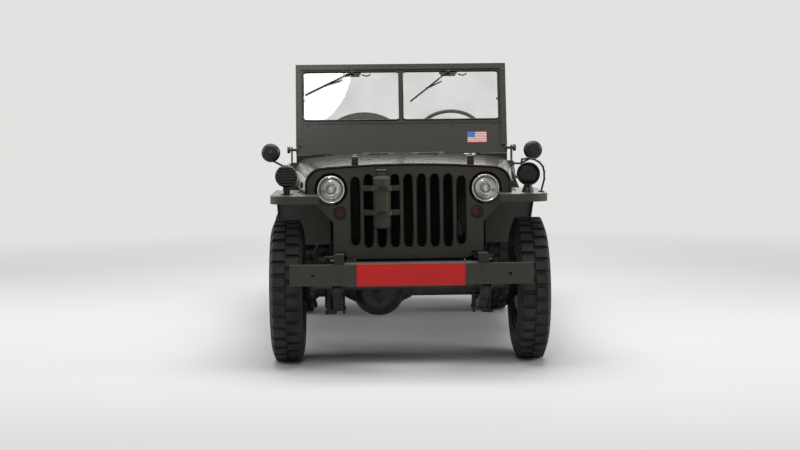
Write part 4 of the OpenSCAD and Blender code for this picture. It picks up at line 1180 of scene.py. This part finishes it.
@dataclass
class Seats(Dresser):
    """Canvas cushions and back pads, blown up by cloth simulation.

    Attributes:
        pads: All pads.
        voxel: Size of the remesh, metres.
        cap: How far a point may move, metres.
        frames: Length of the cloth simulation.
        pressure: Air pressure that swells the pads in it.
    """

    pads: tuple[Pad, ...] = (
        Pad("cushion_left", (290, 1330, 770.3), (346, 390, 79.7), 0, 2, 0),
        Pad("cushion_right", (-290, 1330, 770.3), (346, 390, 79.7), 0, 2, 0),
        Pad("back_pad_left", (290, 1742, 874), (305, 46, 216), 9, 1, 3),
        Pad("back_pad_right", (-290, 1742, 874), (305, 46, 216), 9, 1, 3),
        Pad("bench_cushion", (0, 2170, 750.3), (780, 290, 69.7), 0, 2, 0),
        Pad("bench_back", (0, 2480, 856), (735, 42, 132), 9, 1, 7))
    voxel: float = 0.008
    cap: float = 0.012
    frames: int = 20
    pressure: float = 4.0

    def build(self) -> None:
        """Makes all pads, swells them together and puts them in place."""
        objs = [self.blank(pad) for pad in self.pads]
        self.swell(objs)
        for pad, obj in zip(self.pads, objs):
            self.settle(pad, obj)
        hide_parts("seat_cushions")

    def blank(self, pad: Pad) -> bpy.types.Object:
        """Closed rounded block round its own middle, a little smaller than the pad.

        Args:
            pad: The pad.

        Returns:
            The object at the origin.
        """
        shape = Shape()
        shape.box(Vector((0, 0, 0)), tuple(v / 1000 - 0.014 for v in pad.size), bevel=min(pad.size) / 4200)
        obj = link(pad.name, shape.mesh(pad.name))
        remesh = obj.modifiers.new("remesh", "REMESH")
        remesh.mode = "VOXEL"
        remesh.voxel_size = self.voxel
        self.bake(obj)
        return obj

    @staticmethod
    def bake(obj: bpy.types.Object) -> None:
        """Applies all modifiers of an object to its mesh.

        Args:
            obj: The object.
        """
        graph = bpy.context.evaluated_depsgraph_get()
        mesh = bpy.data.meshes.new_from_object(obj.evaluated_get(graph))
        obj.modifiers.clear()
        obj.data = mesh

    def swell(self, objs: Sequence[bpy.types.Object]) -> None:
        """Runs the cloth simulation on all blanks at once.

        Args:
            objs: The blanks.
        """
        rest = [[v.co.copy() for v in o.data.vertices] for o in objs]
        for i, o in enumerate(objs):
            o.location.z = 5.0 * i
            cloth = o.modifiers.new("cloth", "CLOTH")
            cloth.settings.quality = 4
            cloth.settings.use_pressure = True
            cloth.settings.uniform_pressure_force = self.pressure
            cloth.settings.effector_weights.gravity = 0.0
            cloth.point_cache.frame_start = 1
            cloth.point_cache.frame_end = self.frames
        scene = bpy.context.scene
        for f in range(1, self.frames + 1):
            scene.frame_set(f)
        for o, start in zip(objs, rest):
            self.bake(o)
            o.location.z = 0.0
            for v, p in zip(o.data.vertices, start):
                way = v.co - p
                if way.length > self.cap:
                    v.co = p + way * (self.cap / way.length)
        scene.frame_set(1)

    def settle(self, pad: Pad, obj: bpy.types.Object) -> None:
        """Sews the channels, flattens what rests and moves a pad to its place.

        Args:
            pad: The pad.
            obj: Its object.
        """
        half = [v / 2000 for v in pad.size]
        turn = Matrix.Rotation(math.radians(-pad.tilt), 3, "X")
        centre = at(*pad.corner) + turn @ Vector((0, half[1], half[2]))
        for v in obj.data.vertices:
            u = [v.co[i] / half[i] for i in range(3)]
            others = [u[i] for i in range(3) if i != pad.thin]
            crown = max(0.0, 1 - others[0] ** 4) * max(0.0, 1 - others[1] ** 4)
            if pad.channels and abs(u[pad.thin]) > 0.5:
                wave = abs(math.sin(math.pi * (u[0] + 1) / 2 * (pad.channels + 1)))
                v.co[pad.thin] *= 0.8 + 0.2 * min(1.0, wave * 1.6)
            v.co[pad.thin] *= 0.9 + 0.12 * crown
            if pad.thin == 2:
                v.co.z = max(v.co.z, -half[2] + 0.0005)
            for i in range(2):
                pull = 0.012 * (1 - abs(u[1 - i]) ** 2) * (1 if abs(u[i]) > 0.7 else 0)
                v.co[i] -= math.copysign(pull * 0.5, v.co[i])
        obj.data.transform(Matrix.Translation(centre) @ turn.to_4x4())
        obj.data.materials.append(Palette.CANVAS.material())
        obj.data.shade_smooth()
        smooth = obj.modifiers.new("smooth", "SUBSURF")
        smooth.levels = 1
        smooth.render_levels = 1
        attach(obj, Body.CHASSIS.value)
        self.made.append(pad.name)


@dataclass(frozen=True)
class Lamp:
    """A round soft lamp.

    Attributes:
        name: Name of the lamp.
        place: Where it hangs, metres.
        aim: Point that it faces.
        size: Diameter, metres.
        power: Watts.
    """

    name: str
    place: Point
    aim: Point
    size: float
    power: float

    def build(self) -> None:
        """Hangs the lamp."""
        data = bpy.data.lights.new(self.name, "AREA")
        data.shape = "DISK"
        data.size = self.size
        data.energy = self.power
        lamp = link(self.name, data)
        lamp.location = self.place
        lamp.rotation_euler = (Vector(self.aim) - Vector(self.place)).to_track_quat("-Z", "Y").to_euler()


class Studio:
    """Floor, light and camera."""

    CAMERA = (-0.2432, -8.9769, 1.2644)
    YAW, PITCH, ROLL = 0.0258, 0.0723, 0.0108
    LENS = 68.33
    FLOOR = (0.56, 0.56, 0.56)
    BACKDROP = (0.76, 0.76, 0.745)
    SKY = (0.29, 0.295, 0.31)
    # Floor: radius, depth under the tyres, and where it starts and ends to take the backdrop's colour
    REACH = 60.0
    DROP = 0.0005
    FADE = (2.6, 8.0)
    LAMPS = (
        Lamp("top", (0.0, -0.5, 5.2), (0, 0.2, 0.6), 5.0, 330),
        Lamp("front", (-1.07, -7.5, 5.15), (0, -1, 0.7), 1.5, 70),
        Lamp("left", (6.0, -2.0, 3.0), (0, 0, 0.8), 3.0, 170),
        Lamp("right", (-6.0, 0.5, 3.0), (0, 0, 0.8), 3.0, 150),
        Lamp("rear", (0.5, 6.5, 4.0), (0, 1, 0.8), 3.5, 160))

    @classmethod
    def build(cls) -> None:
        """Builds the stage."""
        cls.floor()
        cls.lights()
        cls.camera()

    @staticmethod
    def seen(tree: Tree) -> Socket:
        """Tells rays that show a surface to the eye from rays that only light it.

        Args:
            tree: Node tree of the material or world.

        Returns:
            A value of 1 for camera, glossy and transmission rays, else 0.
        """
        n = Nodes(tree)
        path = n.new("LightPath").outputs
        both = n.math("MAXIMUM", path["Is Camera Ray"], path["Is Transmission Ray"])
        return n.math("MAXIMUM", both, path["Is Glossy Ray"])

    @classmethod
    def floor(cls) -> None:
        """Pale round floor whose far part takes the backdrop's colour."""
        disc = Shape()
        bmesh.ops.create_circle(disc.bm, cap_ends=True, segments=96, radius=cls.REACH,
            matrix=Matrix.Translation((0, 0, -cls.DROP)))
        mesh = disc.mesh("floor")
        mat = bpy.data.materials.new("floor_white")
        mat.use_nodes = True
        n = Nodes(mat.node_tree)
        length = n.new("VectorMath")
        length.operation = "LENGTH"
        n.feed(length.inputs[0], n.new("TexCoord").outputs["Object"])
        shown = n.times(cls.seen(n.tree), n.band(length.outputs["Value"], *cls.FADE))
        dark = (0.0, 0.0, 0.0)
        below = n.new("NewGeometry").outputs["Backfacing"]
        bsdf = n.tree.nodes["Principled BSDF"]
        for socket, part in (("Base Color", n.mix(shown, cls.FLOOR, dark)),
                ("Emission Color", n.mix(shown, dark, cls.BACKDROP)), ("Emission Strength", 1.0),
                ("Roughness", 0.7), ("Specular IOR Level", 0.0), ("Alpha", n.math("SUBTRACT", 1.0, below))):
            n.feed(bsdf.inputs[socket], part)
        mesh.materials.append(mat)
        obj = link("floor", mesh)

    @classmethod
    def lights(cls) -> None:
        """Large soft lamps and an even sky."""
        world = bpy.data.worlds.new("studio")
        bpy.context.scene.world = world
        world.use_nodes = True
        n = Nodes(world.node_tree)
        sky = n.tree.nodes["Background"]
        n.feed(sky.inputs["Color"], n.mix(cls.seen(n.tree), cls.SKY, cls.BACKDROP))
        n.feed(sky.inputs["Strength"], 1.0)
        for lamp in cls.LAMPS:
            lamp.build()

    @classmethod
    def camera(cls) -> None:
        """Camera fitted to the photo."""
        y, p, r = cls.YAW, cls.PITCH, cls.ROLL
        level = Vector((math.sin(y), math.cos(y), 0))
        right = Vector((math.cos(y), -math.sin(y), 0))
        ahead = math.cos(p) * level - math.sin(p) * UP
        above = math.sin(p) * level + math.cos(p) * UP
        side = math.cos(r) * right - math.sin(r) * above
        top = math.cos(r) * above + math.sin(r) * right
        data = bpy.data.cameras.new("camera")
        data.lens = cls.LENS
        data.sensor_width = 36
        cam = link("camera", data)
        turn = Matrix((side, top, -ahead)).transposed().to_4x4()
        cam.matrix_world = Matrix.Translation(cls.CAMERA) @ turn
        bpy.context.scene.camera = cam


def main() -> None:
    """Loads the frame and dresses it."""
    logging.basicConfig(level=logging.INFO, format="%(message)s")
    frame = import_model()
    bpy.context.scene.view_settings.view_transform = "Standard"
    Studio.build()
    for kind in (BodyShell, FrontEnd, HoodFittings, Windshield, Wheels, Cabin, Seats):
        part = kind(frame)
        part.build()
        for name in part.made:
            LOG.info("%s: %s", kind.__name__, name)


if __name__ == "__main__":
    main()
